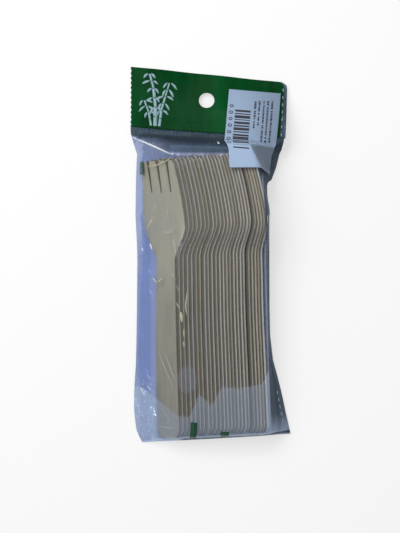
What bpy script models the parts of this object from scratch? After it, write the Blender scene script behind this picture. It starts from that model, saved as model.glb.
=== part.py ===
"""Wooden cutlery pack: a fanned stack of flat wooden forks in a clear film bag.

The pack lies on its back. X runs across it, Y towards the header, Z up.
Sizes are in millimetres, and the last step turns them into metres.
"""
import math
import random

import bmesh
import bpy
import numpy as np
from mathutils import Matrix, Vector
from mathutils.bvhtree import BVHTree

MM = 0.001

# Fork, measured along its length from the handle's end
FORK_COUNT = 24
FORK_LENGTH = 160.0
FORK_THICKNESS = 1.15
HANDLE_END_WIDTH = 16.6
HANDLE_END_ROUND = 6.0
NECK_WIDTH = 13.2
NECK_PLACE = 100.0
HEAD_WIDTH = 30.0
HEAD_PLACE = 123.0
TIP_WIDTH = 23.2
TIP_TAPER = 1.1
TIP_TAPER_LENGTH = 2.4
SLOT_COUNT = 3
SLOT_LENGTH = 18.0
SLOT_PITCH = 7.1
SLOT_ROOT_WIDTH = 1.2
SLOT_MOUTH_WIDTH = 2.0
DIP_DEPTH = 1.0
DIP_PLACE = 110.0
DIP_START = 62.0
TIP_RISE = 5.4

# Stack: the forks lean on each other like books, flat on the left and steep on the right
FIRST_ROLL = 38.5
LAST_ROLL = 62.0
FIRST_YAW = 0.95
LAST_YAW = 2.3
FIRST_FORK_X = -25.0
STACK_END_Y = -104.4
STACK_END_RISE = 4.2
STACK_END_CURVE = 0.5
FORK_GAP = 0.11
EDGE_MARGIN = 0.2
OPEN_GAP = 0.9
OPEN_GAP_AFTER = 19
ROLL_SCATTER = 0.2
SLIDE_SCATTER = 0.6
SCATTER_SEED = 11

# Film bag
WALL = 0.3
FILM_CLEARANCE = 0.45
FLOOR_CLEARANCE = 0.12
FOLD_HEIGHT = 1.3
LIP_THICKNESS = 0.7
LIP_WIDTH = 7.2
LIP_REACH = 9.5
LIP_LIFT = 11.0
FLOOR_LIFT_SHARE = 0.45
END_LIP_WIDTH = 0.8
END_SLOPE_WIDTH = 0.65
END_REACH = 0.25
TIP_REACH = 0.8
END_LIFT = 3.0
SHARPEST_MITER = 0.35
VENT_INSET = 1.7
VENT_ROW = 8
VENT_COLUMN = 8
LEFT_FOLD = ((0.0, -0.2), (0.015, 1.5), (0.046, 3.7), (0.104, 4.7), (0.165, 4.7), (0.25, 3.6), (0.38, 3.1),
             (0.605, 2.7), (0.714, 3.9), (0.816, 3.6), (0.878, 3.3), (0.898, 1.5), (0.921, 3.6), (0.957, 6.6),
             (1.0, 6.8))
RIGHT_FOLD = ((0.0, 13.5), (0.028, 12.5), (0.062, 11.0), (0.118, 9.0), (0.174, 6.7), (0.217, 4.5), (0.264, 2.4),
              (0.35, 1.3), (0.686, 1.1), (0.806, 1.0), (0.845, 3.4), (0.871, 5.2), (0.915, 7.1), (0.98, 9.0),
              (1.0, 9.7))

# Header
HEADER_THICKNESS = 0.4
HEADER_HEIGHT = 34.6
HEADER_LAP = 3.6
HEADER_SLOPE_BOTTOM = -0.09
HEADER_SLOPE_TOP = -0.104
HEADER_WAVE = 0.7
HEADER_WAVES = 2.5
HEADER_FLARE = 2.0
HEADER_CORNER = 3.4
HANG_HOLE_DIAMETER = 9.0
HANG_HOLE_FROM_TOP = 15.6
HANG_HOLE_X = 1.1
SEAT_GAP = 0.25

# Prints and label
PRINT_THICKNESS = 0.1
SLOPE_REACH = 0.35
PRINT_GAP = 0.15
LABEL_THICKNESS = 0.2
LABEL_GAP = 0.5
LABEL_WIDTH = 29.8
LABEL_LEFT = 14.3
LABEL_ABOVE_LIP = 25.6
LABEL_FLAP = 10.0
LABEL_LEAN = 3.0
LABEL_RIDGE_REACH = 0.8
BAR_COUNT = 13
BAR_LENGTH = 7.4
BAR_PITCH = 1.6
BAR_SPINE = 0.7
BAR_INSET = 3.4
BAR_DROP = 11.4
PLANT_STALKS = ((8.2, 21.0, -1.6), (15.0, 25.0, 0.9), (21.8, 19.0, 1.8))
PLANT_STALK_WIDTH = 0.9
PLANT_JOINTS = 9
PLANT_LEAF_LENGTH = 5.0
PLANT_LEAF_WIDTH = 1.2
PLANT_LEAF_SPREAD = 0.55
MARK_SIZES = {"mark_left": (2.0, 7.4), "mark_bottom_1": (3.9, 7.9), "mark_bottom_2": (4.6, 2.6)}
MARK_FROM_LEFT_FOLD = 2.2
MARK_BELOW_TIPS = 11.6
MARK_BOTTOM_PLACES = ((-8.3, 0.1), (8.9, 0.9))


def clear_scene():
    """Remove every object that the file opened with."""
    for old in list(bpy.data.objects):
        bpy.data.objects.remove(old, do_unlink=True)


def ease(value):
    """Smooth step from 0 to 1."""
    value = min(max(value, 0.0), 1.0)
    return value * value * (3.0 - 2.0 * value)


def mix(first, second, share):
    """Value a share of the way from first to second."""
    return first + (second - first) * share


def material(name, color, roughness, alpha=1.0):
    """A Principled material with one flat colour."""
    made = bpy.data.materials.new(name)
    made.use_nodes = True
    shader = made.node_tree.nodes["Principled BSDF"]
    shader.inputs["Base Color"].default_value = (*color, 1.0)
    shader.inputs["Roughness"].default_value = roughness
    shader.inputs["Metallic"].default_value = 0.0
    shader.inputs["Alpha"].default_value = alpha
    made.diffuse_color = (*color, alpha)
    return made


def split_faces(mesh_data):
    """Split every face into triangles, so that pieces that lie on it find the same surface."""
    mesh = bmesh.new()
    mesh.from_mesh(mesh_data)
    bmesh.ops.triangulate(mesh, faces=mesh.faces)
    bmesh.ops.recalc_face_normals(mesh, faces=mesh.faces)
    mesh.to_mesh(mesh_data)
    mesh.free()


def mesh_object(name, points, faces, look):
    """An object from points in millimetres and faces of point numbers."""
    mesh = bpy.data.meshes.new(name)
    scaled = [tuple(value * MM for value in point) for point in points]
    mesh.from_pydata(scaled, [], [list(face) for face in faces])
    mesh.validate()
    mesh.materials.append(look)
    made = bpy.data.objects.new(name, mesh)
    bpy.context.collection.objects.link(made)
    return made


def rim_walls(faces, count):
    """Wall faces between a top layer and the same layer `count` places further on."""
    directed = {(face[i], face[(i + 1) % len(face)]) for face in faces for i in range(len(face))}
    rims = sorted(edge for edge in directed if (edge[1], edge[0]) not in directed)
    return [(b, a, a + count, b + count) for a, b in rims]


def slab(name, top, bottom, faces, look):
    """One closed sheet from matching top and bottom points and the faces over the top."""
    count = len(top)
    under = [tuple(number + count for number in reversed(face)) for face in faces]
    made = mesh_object(name, list(top) + list(bottom), faces + under + rim_walls(faces, count), look)
    split_faces(made.data)
    return made


# Fork

def half_width(place):
    """Half of the fork's width at a distance from the handle's end."""
    end = HANDLE_END_WIDTH / 2
    if place < HANDLE_END_ROUND:
        reach = HANDLE_END_ROUND - place
        return end - HANDLE_END_ROUND + math.sqrt(HANDLE_END_ROUND**2 - reach**2)
    if place < NECK_PLACE:
        return mix(end, NECK_WIDTH / 2, place / NECK_PLACE)
    if place < HEAD_PLACE:
        return mix(NECK_WIDTH / 2, HEAD_WIDTH / 2, ease((place - NECK_PLACE) / (HEAD_PLACE - NECK_PLACE)))
    share = (place - HEAD_PLACE) / (FORK_LENGTH - HEAD_PLACE)
    return mix(HEAD_WIDTH / 2, TIP_WIDTH / 2, share**1.5)


def bow(place):
    """Height of the pressed fork's middle layer: a slight dip before the head, then a rise."""
    if place < DIP_START:
        return 0.0
    if place < DIP_PLACE:
        return -DIP_DEPTH * ease((place - DIP_START) / (DIP_PLACE - DIP_START))
    share = (place - DIP_PLACE) / (FORK_LENGTH - DIP_PLACE)
    return mix(-DIP_DEPTH, TIP_RISE, share**1.8)


def body_rows():
    """Places of the fork's rows from the handle's end to the slots' roots."""
    root = FORK_LENGTH - SLOT_LENGTH
    rounds = [HANDLE_END_ROUND * (1 - math.cos(math.radians(angle))) for angle in (0, 32, 62, 90)]
    handle = [mix(HANDLE_END_ROUND, NECK_PLACE, share) for share in (0.5, 0.8, 1.0)]
    shoulder = [mix(NECK_PLACE, HEAD_PLACE, share) for share in (0.25, 0.5, 0.75, 1.0)]
    return rounds + handle + shoulder + [mix(HEAD_PLACE, root, 0.5), root]


def tine_rows():
    """Places of the rows along the tines, after the slots' roots."""
    root = FORK_LENGTH - SLOT_LENGTH
    taper = FORK_LENGTH - TIP_TAPER_LENGTH
    return [mix(root, taper, 0.4), taper, FORK_LENGTH]


def tine_edges(place):
    """Left and right edges of every tine at one place."""
    root = FORK_LENGTH - SLOT_LENGTH
    slot = mix(SLOT_ROOT_WIDTH, SLOT_MOUTH_WIDTH, (place - root) / SLOT_LENGTH)
    centres = [(number - (SLOT_COUNT - 1) / 2) * SLOT_PITCH for number in range(SLOT_COUNT)]
    lefts = [-half_width(place)] + [centre + slot / 2 for centre in centres]
    rights = [centre - slot / 2 for centre in centres] + [half_width(place)]
    taper = TIP_TAPER * max(0.0, 1 - (FORK_LENGTH - place) / TIP_TAPER_LENGTH)
    return [(left + taper, right - taper) for left, right in zip(lefts, rights)]


def fork_outline():
    """Flat points (across, along) of a fork and the faces over them."""
    points = []
    faces = []
    rows = body_rows()
    for place in rows[:-1]:
        points += [(-half_width(place), place), (half_width(place), place)]
    for row in range(len(rows) - 2):
        low = 2 * row
        faces.append((low, low + 1, low + 3, low + 2))
    root = len(points)
    places = [rows[-1]] + tine_rows()
    width = 2 * (SLOT_COUNT + 1)
    for place in places:
        points += [(edge, place) for tine in tine_edges(place) for edge in tine]
    faces.append((root - 2, root - 1) + tuple(range(root + width - 1, root - 1, -1)))
    for row in range(len(places) - 1):
        for tine in range(SLOT_COUNT + 1):
            low = root + row * width + 2 * tine
            faces.append((low, low + 1, low + width + 1, low + width))
    return points, faces


def fork_layers():
    """Top and bottom points of a fork in its own frame, and its faces."""
    flat, faces = fork_outline()
    half = FORK_THICKNESS / 2
    top = [(across, along, bow(along) + half) for across, along in flat]
    bottom = [(across, along, bow(along) - half) for across, along in flat]
    return top, bottom, faces


# Stack

def fork_turn(roll, yaw):
    """Rotation of a fork that leans by roll and rests on its head and its handle's end."""
    drop = (HEAD_WIDTH - HANDLE_END_WIDTH) / 2 * math.sin(math.radians(roll))
    pitch = math.atan2(drop, HEAD_PLACE - HANDLE_END_ROUND)
    lean = Matrix.Rotation(-math.radians(roll), 3, "Y")
    lift = Matrix.Rotation(pitch, 3, "X")
    swing = Matrix.Rotation(math.radians(yaw), 3, "Z")
    return swing @ lift @ lean


def layer_height(rows, across, along, side):
    """Height of a fork's top (side 1) or bottom (side -1), or None beside the fork."""
    if along < rows[0] or along > rows[-1]:
        return None
    if abs(across) > np.interp(along, rows, [half_width(row) for row in rows]) + EDGE_MARGIN:
        return None
    return np.interp(along, rows, [bow(row) for row in rows]) + side * FORK_THICKNESS / 2


def shift_needed(front, back, gap):
    """How far along +X the back fork moves so that it clears the front one by gap."""
    rows = body_rows() + tine_rows()
    needed = -1e9
    pairs = ((back, front, 1, -1), (front, back, -1, 1))
    for mover, still, own_side, other_side in pairs:
        into = still.inverted() @ mover
        slide = abs((still.to_3x3().inverted() @ Vector((1, 0, 0))).z)
        for row in rows:
            for share in (-1.0, -0.6, 0.0, 0.6, 1.0):
                height = bow(row) + own_side * FORK_THICKNESS / 2
                point = into @ Vector((share * half_width(row), row, height))
                face = layer_height(rows, point.x, point.y, other_side)
                if face is not None:
                    overlap = (point.z - face) if own_side == 1 else (face - point.z)
                    needed = max(needed, (overlap + gap) / slide)
    return needed


def seat_on_floor(turn, layers):
    """Height of a fork's origin that puts its lowest point on the bag's floor."""
    lowest = min((turn @ Vector(point)).z for layer in layers[:2] for point in layer)
    return WALL + FLOOR_CLEARANCE - lowest


def stack_places(layers):
    """World matrices, in millimetres, of all the forks from left to right."""
    scatter = random.Random(SCATTER_SEED)
    places = []
    for number in range(FORK_COUNT):
        share = number / (FORK_COUNT - 1)
        roll = mix(FIRST_ROLL, LAST_ROLL, share) + scatter.uniform(0, ROLL_SCATTER)
        turn = fork_turn(roll, mix(FIRST_YAW, LAST_YAW, share))
        end = STACK_END_Y + STACK_END_RISE * share**STACK_END_CURVE + scatter.uniform(-SLIDE_SCATTER, SLIDE_SCATTER)
        height = seat_on_floor(turn, layers)
        start = FIRST_FORK_X if number == 0 else places[-1].translation.x
        place = Matrix.Translation((start, end, height)) @ turn.to_4x4()
        if number > 0:
            gap = FORK_GAP + (OPEN_GAP if number == OPEN_GAP_AFTER else 0.0)
            move = shift_needed(places[-1], place, gap)
            place = Matrix.Translation((move, 0, 0)) @ place
        places.append(place)
    return places


def build_forks(places, layers):
    """One object for each fork, placed by its own matrix."""
    top, bottom, faces = layers
    look = material("wood", (0.60, 0.47, 0.30), 0.65)
    for number, place in enumerate(places, start=1):
        fork = slab(f"fork_{number:02d}", top, bottom, faces, look)
        scaled = place.copy()
        scaled.translation = place.translation * MM
        fork.matrix_world = scaled


# Film bag

def upper_hull(points):
    """Corners of the upper convex hull of points (x, z), from left to right."""
    hull = []
    for x, z in sorted(points):
        while len(hull) > 1:
            (ax, az), (bx, bz) = hull[-2], hull[-1]
            if (bx - ax) * (z - az) - (bz - az) * (x - ax) < 0:
                break
            hull.pop()
        hull.append((x, z))
    return hull


def hull_heights(points, places):
    """Heights of the upper hull of points at the given places."""
    hull = upper_hull(points)
    return np.interp(places, [corner[0] for corner in hull], [corner[1] for corner in hull])


def edge_line(place, side, layer):
    """World points along a fork's right (side 1) or left (side -1) edge, in its top (1) or bottom (-1) layer."""
    rows = [row for row in body_rows() + tine_rows() if row >= HANDLE_END_ROUND]
    lift = layer * FORK_THICKNESS / 2
    return np.array([place @ Vector((side * half_width(row), row, bow(row) + lift)) for row in rows])


class Stack:
    """What the bag needs to know about the seated forks."""

    def __init__(self, places, layers):
        self.edges = [edge_line(places[0], -1, 1)]
        self.edges += [edge_line(place, 1, 1) for place in places]
        self.edges += [edge_line(places[-1], 1, -1)]
        points = np.array([place @ Vector(point) for place in places for layer in layers[:2] for point in layer])
        self.left = points[:, 0].min()
        self.right = points[:, 0].max()
        self.tip_y = points[:, 1].max()
        self.middle = (self.left + self.right) / 2
        self.end_line = min(y - self.end_slope() * (x - self.middle) for x, y, _ in points)

    def end_slope(self):
        """Rise of the line of handle ends for each millimetre across."""
        return STACK_END_RISE / (self.right - self.left)

    def edge_points(self, station):
        """Where the forks' outer edges cross a station's line, as points (x, z) from left to right."""
        found = []
        for line in self.edges:
            y = station.y_at(line[:, 0].mean())
            x = np.interp(y, line[:, 1], line[:, 0])
            z = np.interp(y, line[:, 1], line[:, 2])
            found.append((float(x), float(z)))
        return found


class Station:
    """One line across the bag, with its two fold edges."""

    def __init__(self, middle, y, slope, left, right):
        self.middle = middle
        self.y = y
        self.slope = slope
        self.left = left
        self.right = right

    def y_at(self, x):
        """The line's Y at a place across the bag."""
        return self.y + self.slope * (x - self.middle)


def bag_lines(stack):
    """The bag's cross lines from the bottom weld to the lip under the header, as (y, tilt)."""
    ends = stack.end_line - END_REACH - WALL
    tips = stack.tip_y + TIP_REACH + WALL
    lip = stack.tip_y + LIP_REACH
    shares = (0.035, 0.07, 0.11, 0.155, 0.2, 0.26, 0.35, 0.45, 0.55, 0.63, 0.69, 0.74, 0.79, 0.84, 0.88, 0.91, 0.95)
    lines = [(ends - END_SLOPE_WIDTH - END_LIP_WIDTH, 1.0), (ends - END_SLOPE_WIDTH, 1.0), (ends, 1.0)]
    lines += [(mix(ends, tips, share), 1.0 - share) for share in shares]
    return lines + [(tips, 0.0), (mix(tips, lip, 0.5), -0.5), (lip, -1.0), (lip + LIP_WIDTH, -1.0)]


def bag_stations(stack):
    """The bag's stations, with both of its fold edges at each."""
    lines = bag_lines(stack)
    start = lines[0][0]
    length = lines[-1][0] - start
    stations = []
    for y, tilt in lines:
        slope = tilt * (stack.end_slope() if tilt > 0 else -HEADER_SLOPE_BOTTOM)
        left = stack.left - np.interp((y - start) / length, *zip(*LEFT_FOLD))
        right = stack.right + np.interp((y - start) / length, *zip(*RIGHT_FOLD))
        stations.append(Station(stack.middle, y, slope, float(left), float(right)))
    return stations


def lip_height(stack, x):
    """Height of the top lip's upper side, lifted towards the thick end of the stack."""
    return LIP_THICKNESS + LIP_LIFT * ease((x - stack.left) / (stack.right - stack.left))


def column_places(station, points):
    """X of the bag's columns: left slope, top and right wall."""
    low = points[0][0] - FILM_CLEARANCE
    first = points[1][0] - FILM_CLEARANCE
    ridge = points[-2][0]
    last = points[-1][0] + FILM_CLEARANCE + WALL
    slope = [station.left, low, mix(low, first, 0.35), mix(low, first, 0.7)]
    top = [mix(first, ridge, number / 7) for number in range(8)] + [last]
    wall = [mix(last, station.right, share) for share in (0.35, 0.75, 1.0)]
    return slope + top + wall


def bag_columns(stack, stations):
    """Columns for every station, with ridges that follow the first and last forks."""
    return np.array([column_places(station, stack.edge_points(station)) for station in stations])


def top_heights(stack, stations, columns):
    """Upper film heights: taut over the forks both across and along the bag."""
    lip = len(stations) - 2
    heights = np.zeros(columns.shape)
    for row, station in enumerate(stations):
        if row < 2:
            swell = np.sin(np.linspace(0, math.pi, columns.shape[1]))
            heights[row] = LIP_THICKNESS + END_LIFT * swell + (FOLD_HEIGHT - LIP_THICKNESS) * row
        elif row < lip:
            skin = FILM_CLEARANCE + WALL
            points = [(x, z + skin) for x, z in stack.edge_points(station)]
            corners = [(points[0][0] - skin, points[0][1]), (points[1][0] - skin / 2, points[1][1]),
                       (points[-1][0] + skin, points[-1][1])]
            folds = [(station.left, FOLD_HEIGHT), (station.right, FOLD_HEIGHT)]
            heights[row] = hull_heights(points + corners + folds, columns[row])
        else:
            thick = FOLD_HEIGHT if row == lip else LIP_THICKNESS
            heights[row] = [lip_height(stack, x) - LIP_THICKNESS + thick for x in columns[row]]
    lines = [station.y for station in stations]
    for column in range(1, columns.shape[1] - 1):
        spans = list(zip(lines[1:lip + 1], heights[1:lip + 1, column]))
        heights[1:lip + 1, column] = hull_heights(spans, lines[1:lip + 1])
    return heights


def floor_heights(stack, stations, columns):
    """Lower film heights: flat on the table, then up to the lip and to the bottom weld."""
    lip = len(stations) - 2
    heights = np.zeros(columns.shape)
    swell = END_LIFT * np.sin(np.linspace(0, math.pi, columns.shape[1]))
    heights[0] = swell
    heights[1] = swell
    lifted = np.array([[lip_height(stack, x) - LIP_THICKNESS for x in row] for row in columns])
    heights[lip:] = lifted[lip:]
    heights[lip - 1] = lifted[lip - 1] * FLOOR_LIFT_SHARE
    return heights


def ring_points(columns, upper, lower):
    """One section as a closed ring (x, z): along the top from left to right, then back."""
    top = list(zip(columns, upper))
    bottom = list(zip(columns, lower))
    return top + bottom[::-1]


def inset_ring(ring, distance):
    """The same ring moved inwards by a distance, with mitred corners."""
    count = len(ring)
    moved = []
    for number in range(count):
        before = Vector(ring[number - 1])
        here = Vector(ring[number])
        after = Vector(ring[(number + 1) % count])
        first = (here - before).normalized()
        second = (after - here).normalized()
        inward = Vector((first.y, -first.x)) + Vector((second.y, -second.x))
        miter = inward / max(inward.length_squared / 2, SHARPEST_MITER)
        moved.append(tuple(here + miter * distance))
    return moved


def end_inset(number, count):
    """How far along Y the inner skin stays inside the steep ends of the bag."""
    if number <= 2:
        return WALL
    return -WALL if number >= count - 4 else 0.0


def loft_faces(rings, size, start, inside):
    """Faces of a tube of rings, with quads across both of its ends."""
    faces = []
    for row in range(rings - 1):
        for number in range(size):
            a = start + row * size + number
            b = start + row * size + (number + 1) % size
            faces.append((a, b, b + size, a + size))
    for row, flip in ((0, True), (rings - 1, False)):
        low = start + row * size
        for number in range(size // 2 - 1):
            face = (low + number, low + number + 1, low + size - 2 - number, low + size - 1 - number)
            faces.append(face[::-1] if flip else face)
    return [face[::-1] for face in faces] if inside else faces


def open_vent(made, rows, size):
    """Join the outside and the inside through a small vent in the bag's back."""
    mesh = bmesh.new()
    mesh.from_mesh(made.data)
    mesh.verts.ensure_lookup_table()
    corner = (rows - VENT_ROW) * size + size - VENT_COLUMN
    outer = {corner, corner + 1, corner + size, corner + size + 1}
    inner = {point + (rows - 1) * size for point in outer}
    pair = [face for face in mesh.faces if {vert.index for vert in face.verts} in (outer, inner)]
    bmesh.ops.inset_individual(mesh, faces=pair, thickness=VENT_INSET * MM)
    edges = [edge for face in pair for edge in face.edges]
    bmesh.ops.delete(mesh, geom=pair, context="FACES_ONLY")
    bmesh.ops.bridge_loops(mesh, edges=edges)
    mesh.to_mesh(made.data)
    mesh.free()
    split_faces(made.data)


def build_bag(stack):
    """The film bag: an outer and an inner skin joined at the vent."""
    stations = bag_stations(stack)
    columns = bag_columns(stack, stations)
    upper = top_heights(stack, stations, columns)
    lower = floor_heights(stack, stations, columns)
    rings = [ring_points(*section) for section in zip(columns, upper, lower)]
    size = len(rings[0])
    points = [(x, station.y_at(x), z) for station, ring in zip(stations, rings) for x, z in ring]
    for number, (station, ring) in enumerate(zip(stations, rings)):
        if 0 < number < len(rings) - 1:
            points += [(x, station.y_at(x) + end_inset(number, len(rings)), z) for x, z in inset_ring(ring, WALL)]
    faces = loft_faces(len(rings), size, 0, False)
    faces += loft_faces(len(rings) - 2, size, len(rings) * size, True)
    bag = mesh_object("film_bag", points, faces, material("film", (0.45, 0.55, 0.72), 0.15, 0.4))
    open_vent(bag, len(rings), size)
    return bag, stations


# Header, label and prints

class Surface:
    """The upper surface of a finished object, for pieces that lie on it."""

    def __init__(self, *objects):
        self.trees = []
        for made in objects:
            mesh = bmesh.new()
            mesh.from_mesh(made.data)
            self.trees.append(BVHTree.FromBMesh(mesh))
            mesh.free()

    def height(self, x, y):
        """Height, in millimetres, that clears the surface at a point and on a slope beside it."""
        down = Vector((0, 0, -1))
        heights = []
        for side_x, side_y in ((0, 0), (1, 0), (-1, 0), (0, 1), (0, -1)):
            start = Vector(((x + side_x * SLOPE_REACH) * MM, (y + side_y * SLOPE_REACH) * MM, 1.0))
            hits = [tree.ray_cast(start, down)[0] for tree in self.trees]
            heights += [hit.z / MM for hit in hits if hit is not None]
        return max(heights, default=0.0)


def grid_faces(across, along):
    """Faces over a grid of points, row by row, seen from above."""
    faces = []
    for row in range(along - 1):
        for column in range(across - 1):
            low = row * across + column
            faces.append((low, low + 1, low + across + 1, low + across))
    return faces


def drape(name, flat, faces, surface, gap, thickness, look):
    """A thin sheet whose underside follows a surface at a gap."""
    bottom = [(x, y, surface.height(x, y) + gap) for x, y in flat]
    top = [(x, y, z + thickness) for x, y, z in bottom]
    return slab(name, top, bottom, faces, look)


def header_underside(stack, lip, x, share):
    """Underside of the header at a share of its height, from its lap to its free edge."""
    lap = HEADER_LAP / HEADER_HEIGHT
    start = lip_height(stack, x) + SEAT_GAP
    if share <= lap:
        return start + (FOLD_HEIGHT - LIP_THICKNESS) * (lap - share) * HEADER_HEIGHT / LIP_WIDTH
    rest = (share - lap) / (1 - lap)
    wave = HEADER_WAVE * (1 - math.cos(2 * math.pi * HEADER_WAVES * (x - lip.left) / (lip.right - lip.left)))
    return start * (1 - ease(rest)) + wave * rest


def header_right(lip, share):
    """X of the header's right edge, which flares a little and ends in a rounded corner."""
    reach = max(0.0, HEADER_CORNER - (1 - share) * HEADER_HEIGHT)
    cut = HEADER_CORNER - math.sqrt(HEADER_CORNER**2 - reach**2)
    return lip.right + HEADER_FLARE * share - cut


def build_header(stack, stations):
    """The green header strip, lapped over the bag's lip, with its hang hole."""
    lip = stations[-1]
    columns = 17
    shares = [0.0, HEADER_LAP / HEADER_HEIGHT, 0.22, 0.4, 0.58, 0.74, 0.87, 0.95, 1.0]
    bottom = []
    for share in shares:
        slope = mix(HEADER_SLOPE_BOTTOM, HEADER_SLOPE_TOP, share)
        for column in range(columns):
            x = mix(lip.left, header_right(lip, share), column / (columns - 1))
            y = lip.y - HEADER_LAP + HEADER_HEIGHT * share + slope * (x - lip.middle)
            bottom.append((x, y, header_underside(stack, lip, x, share)))
    top = [(x, y, z + HEADER_THICKNESS) for x, y, z in bottom]
    look = material("header_green", (0.01, 0.06, 0.02), 0.3)
    header = slab("header_strip", top, bottom, grid_faces(columns, len(shares)), look)
    x = lip.middle + HANG_HOLE_X
    y = lip.y - HEADER_LAP + HEADER_HEIGHT + HEADER_SLOPE_TOP * HANG_HOLE_X - HANG_HOLE_FROM_TOP
    cut_hole(header, x, y, HANG_HOLE_DIAMETER)
    return header


def cut_hole(header, x, y, diameter):
    """Cut a round hole straight down through the header."""
    depth = 4 * (LIP_LIFT + HEADER_THICKNESS)
    bpy.ops.mesh.primitive_cylinder_add(vertices=28, radius=diameter / 2 * MM, depth=depth * MM,
                                        location=(x * MM, y * MM, 0))
    cutter = bpy.context.object
    cut = header.modifiers.new("hang hole", "BOOLEAN")
    cut.operation = "DIFFERENCE"
    cut.solver = "EXACT"
    cut.object = cutter
    graph = bpy.context.evaluated_depsgraph_get()
    finished = bpy.data.meshes.new_from_object(header.evaluated_get(graph))
    header.modifiers.clear()
    header.data = finished
    bpy.data.objects.remove(cutter, do_unlink=True)
    split_faces(header.data)


def label_rows(stack, stations):
    """Rows of the label as (y, left, right, slope): header, shoulder and the flap over the tines."""
    tips, middle, inner, lip = stations[-4:]
    left = lip.middle + LABEL_LEFT
    right = left + LABEL_WIDTH
    edge = lip.y - HEADER_LAP
    lean = LABEL_LEAN
    rows = []
    for share in (0.0, 0.25, 0.5, 0.75, 1.0):
        y = mix(edge + LABEL_ABOVE_LIP, edge, share)
        rows.append((y, left - lean * share, right - lean * share * 1.1, HEADER_SLOPE_BOTTOM))
    rows.append((inner.y, left - lean * 1.1, right - lean * 1.3, inner.slope))
    rows.append((middle.y, left - lean * 0.5, right - lean * 1.5, middle.slope))
    rows.append((tips.y + LABEL_RIDGE_REACH, left - lean * 0.3, right - lean * 1.7, tips.slope))
    rows.append((tips.y - LABEL_RIDGE_REACH, left - lean * 0.2, right - lean * 1.8, tips.slope))
    rows.append((stack.tip_y - LABEL_FLAP / 2, left, right - lean * 2.0, tips.slope))
    rows.append((stack.tip_y - LABEL_FLAP, left, right - lean * 2.2, tips.slope))
    return rows


def build_label(stack, stations, surface):
    """The paper label: down over the header, up the shoulder and out over the tines."""
    rows = label_rows(stack, stations)
    columns = 11
    flat = []
    for y, left, right, slope in rows:
        for column in range(columns):
            x = mix(left, right, column / (columns - 1))
            flat.append((x, y + slope * (x - stack.middle)))
    faces = [face[::-1] for face in grid_faces(columns, len(rows))]
    look = material("label_paper", (0.75, 0.78, 0.82), 0.7)
    return drape("label", flat, faces, surface, LABEL_GAP, LABEL_THICKNESS, look)


def build_barcode(lip, surface):
    """The label's generic bars, joined by a thin rule along one side."""
    left = lip.middle + LABEL_LEFT + BAR_INSET
    top = lip.y - HEADER_LAP + LABEL_ABOVE_LIP - BAR_DROP
    flat = []
    for number in range(BAR_COUNT):
        thickness = BAR_PITCH * (0.35 + 0.12 * (number % 3))
        for down in (number * BAR_PITCH, number * BAR_PITCH + thickness):
            for x in (left, left + BAR_SPINE, left + BAR_LENGTH / 2, left + BAR_LENGTH):
                lean = LABEL_LEAN * (BAR_DROP + down) / LABEL_ABOVE_LIP
                flat.append((x - lean, top - down + HEADER_SLOPE_BOTTOM * (x - lip.middle)))
    faces = []
    for edge in range(2 * BAR_COUNT - 1):
        low = 4 * edge
        parts = 3 if edge % 2 == 0 else 1
        faces += [(low + part, low + part + 4, low + part + 5, low + part + 1) for part in range(parts)]
    look = material("label_ink", (0.03, 0.03, 0.04), 0.6)
    return drape("barcode_print", flat, faces, surface, PRINT_GAP, PRINT_THICKNESS, look)


def add_leaf(flat, faces, low, high, side, rise):
    """A pointed leaf that grows from the stalk's edge between two points, to one side."""
    root = (Vector(flat[low]) + Vector(flat[high])) / 2
    reach = Vector((side * PLANT_LEAF_SPREAD, rise)).normalized()
    along = reach * PLANT_LEAF_LENGTH
    belly = root + along * 0.4
    over = belly + Vector((-side * reach.y, abs(reach.x))) * PLANT_LEAF_WIDTH / 2
    under = belly * 2 - over
    start = len(flat)
    flat += [tuple(under), tuple(root + along), tuple(over)]
    leaf = (low, start, start + 1, start + 2, high)
    faces.append(leaf if side > 0 else leaf[::-1])


def build_plant(lip, surface):
    """The header's pale plant print: leafy stalks joined by a strip of ground."""
    flat = []
    faces = []
    half = PLANT_STALK_WIDTH / 2
    for stalk, (place, height, lean) in enumerate(PLANT_STALKS):
        start = len(flat)
        for joint in range(PLANT_JOINTS + 1):
            share = joint / PLANT_JOINTS
            x = lip.left + place + lean * share**2
            flat += [(x - half, lip.y + height * share), (x + half, lip.y + height * share)]
        for joint in range(PLANT_JOINTS):
            low = start + 2 * joint
            faces.append((low, low + 1, low + 3, low + 2))
            side = 1 if (joint + stalk) % 2 == 0 else -1
            edge = low + (1 if side > 0 else 0)
            if joint > 1:
                add_leaf(flat, faces, edge, edge + 2, side, 0.85 + 0.07 * (joint % 3))
        if stalk > 0:
            faces.append((foot + 1, start, start + 2, foot + 3))
        foot = start
    look = material("plant_print", (0.55, 0.65, 0.80), 0.4)
    return drape("plant_print", flat, faces, surface, PRINT_GAP, PRINT_THICKNESS, look)


def build_mark(name, x, y, surface, look):
    """One small printed bar on the film, from its lower left corner."""
    width, length = MARK_SIZES[name]
    flat = [(x + width * column / 2, y + length * row / 4) for row in range(5) for column in range(3)]
    drape(name, flat, grid_faces(3, 5), surface, PRINT_GAP, PRINT_THICKNESS, look)


def build_marks(stack, surface):
    """The three green print marks on the film: one by the left fold and two by the bottom."""
    look = material("mark_green", (0.01, 0.07, 0.03), 0.35)
    left = stack.left - LEFT_FOLD[-6][1] + MARK_FROM_LEFT_FOLD
    build_mark("mark_left", left, stack.tip_y - MARK_BELOW_TIPS, surface, look)
    for number, (across, above) in enumerate(MARK_BOTTOM_PLACES, start=1):
        build_mark(f"mark_bottom_{number}", stack.middle + across, stack.end_line + above, surface, look)


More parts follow.
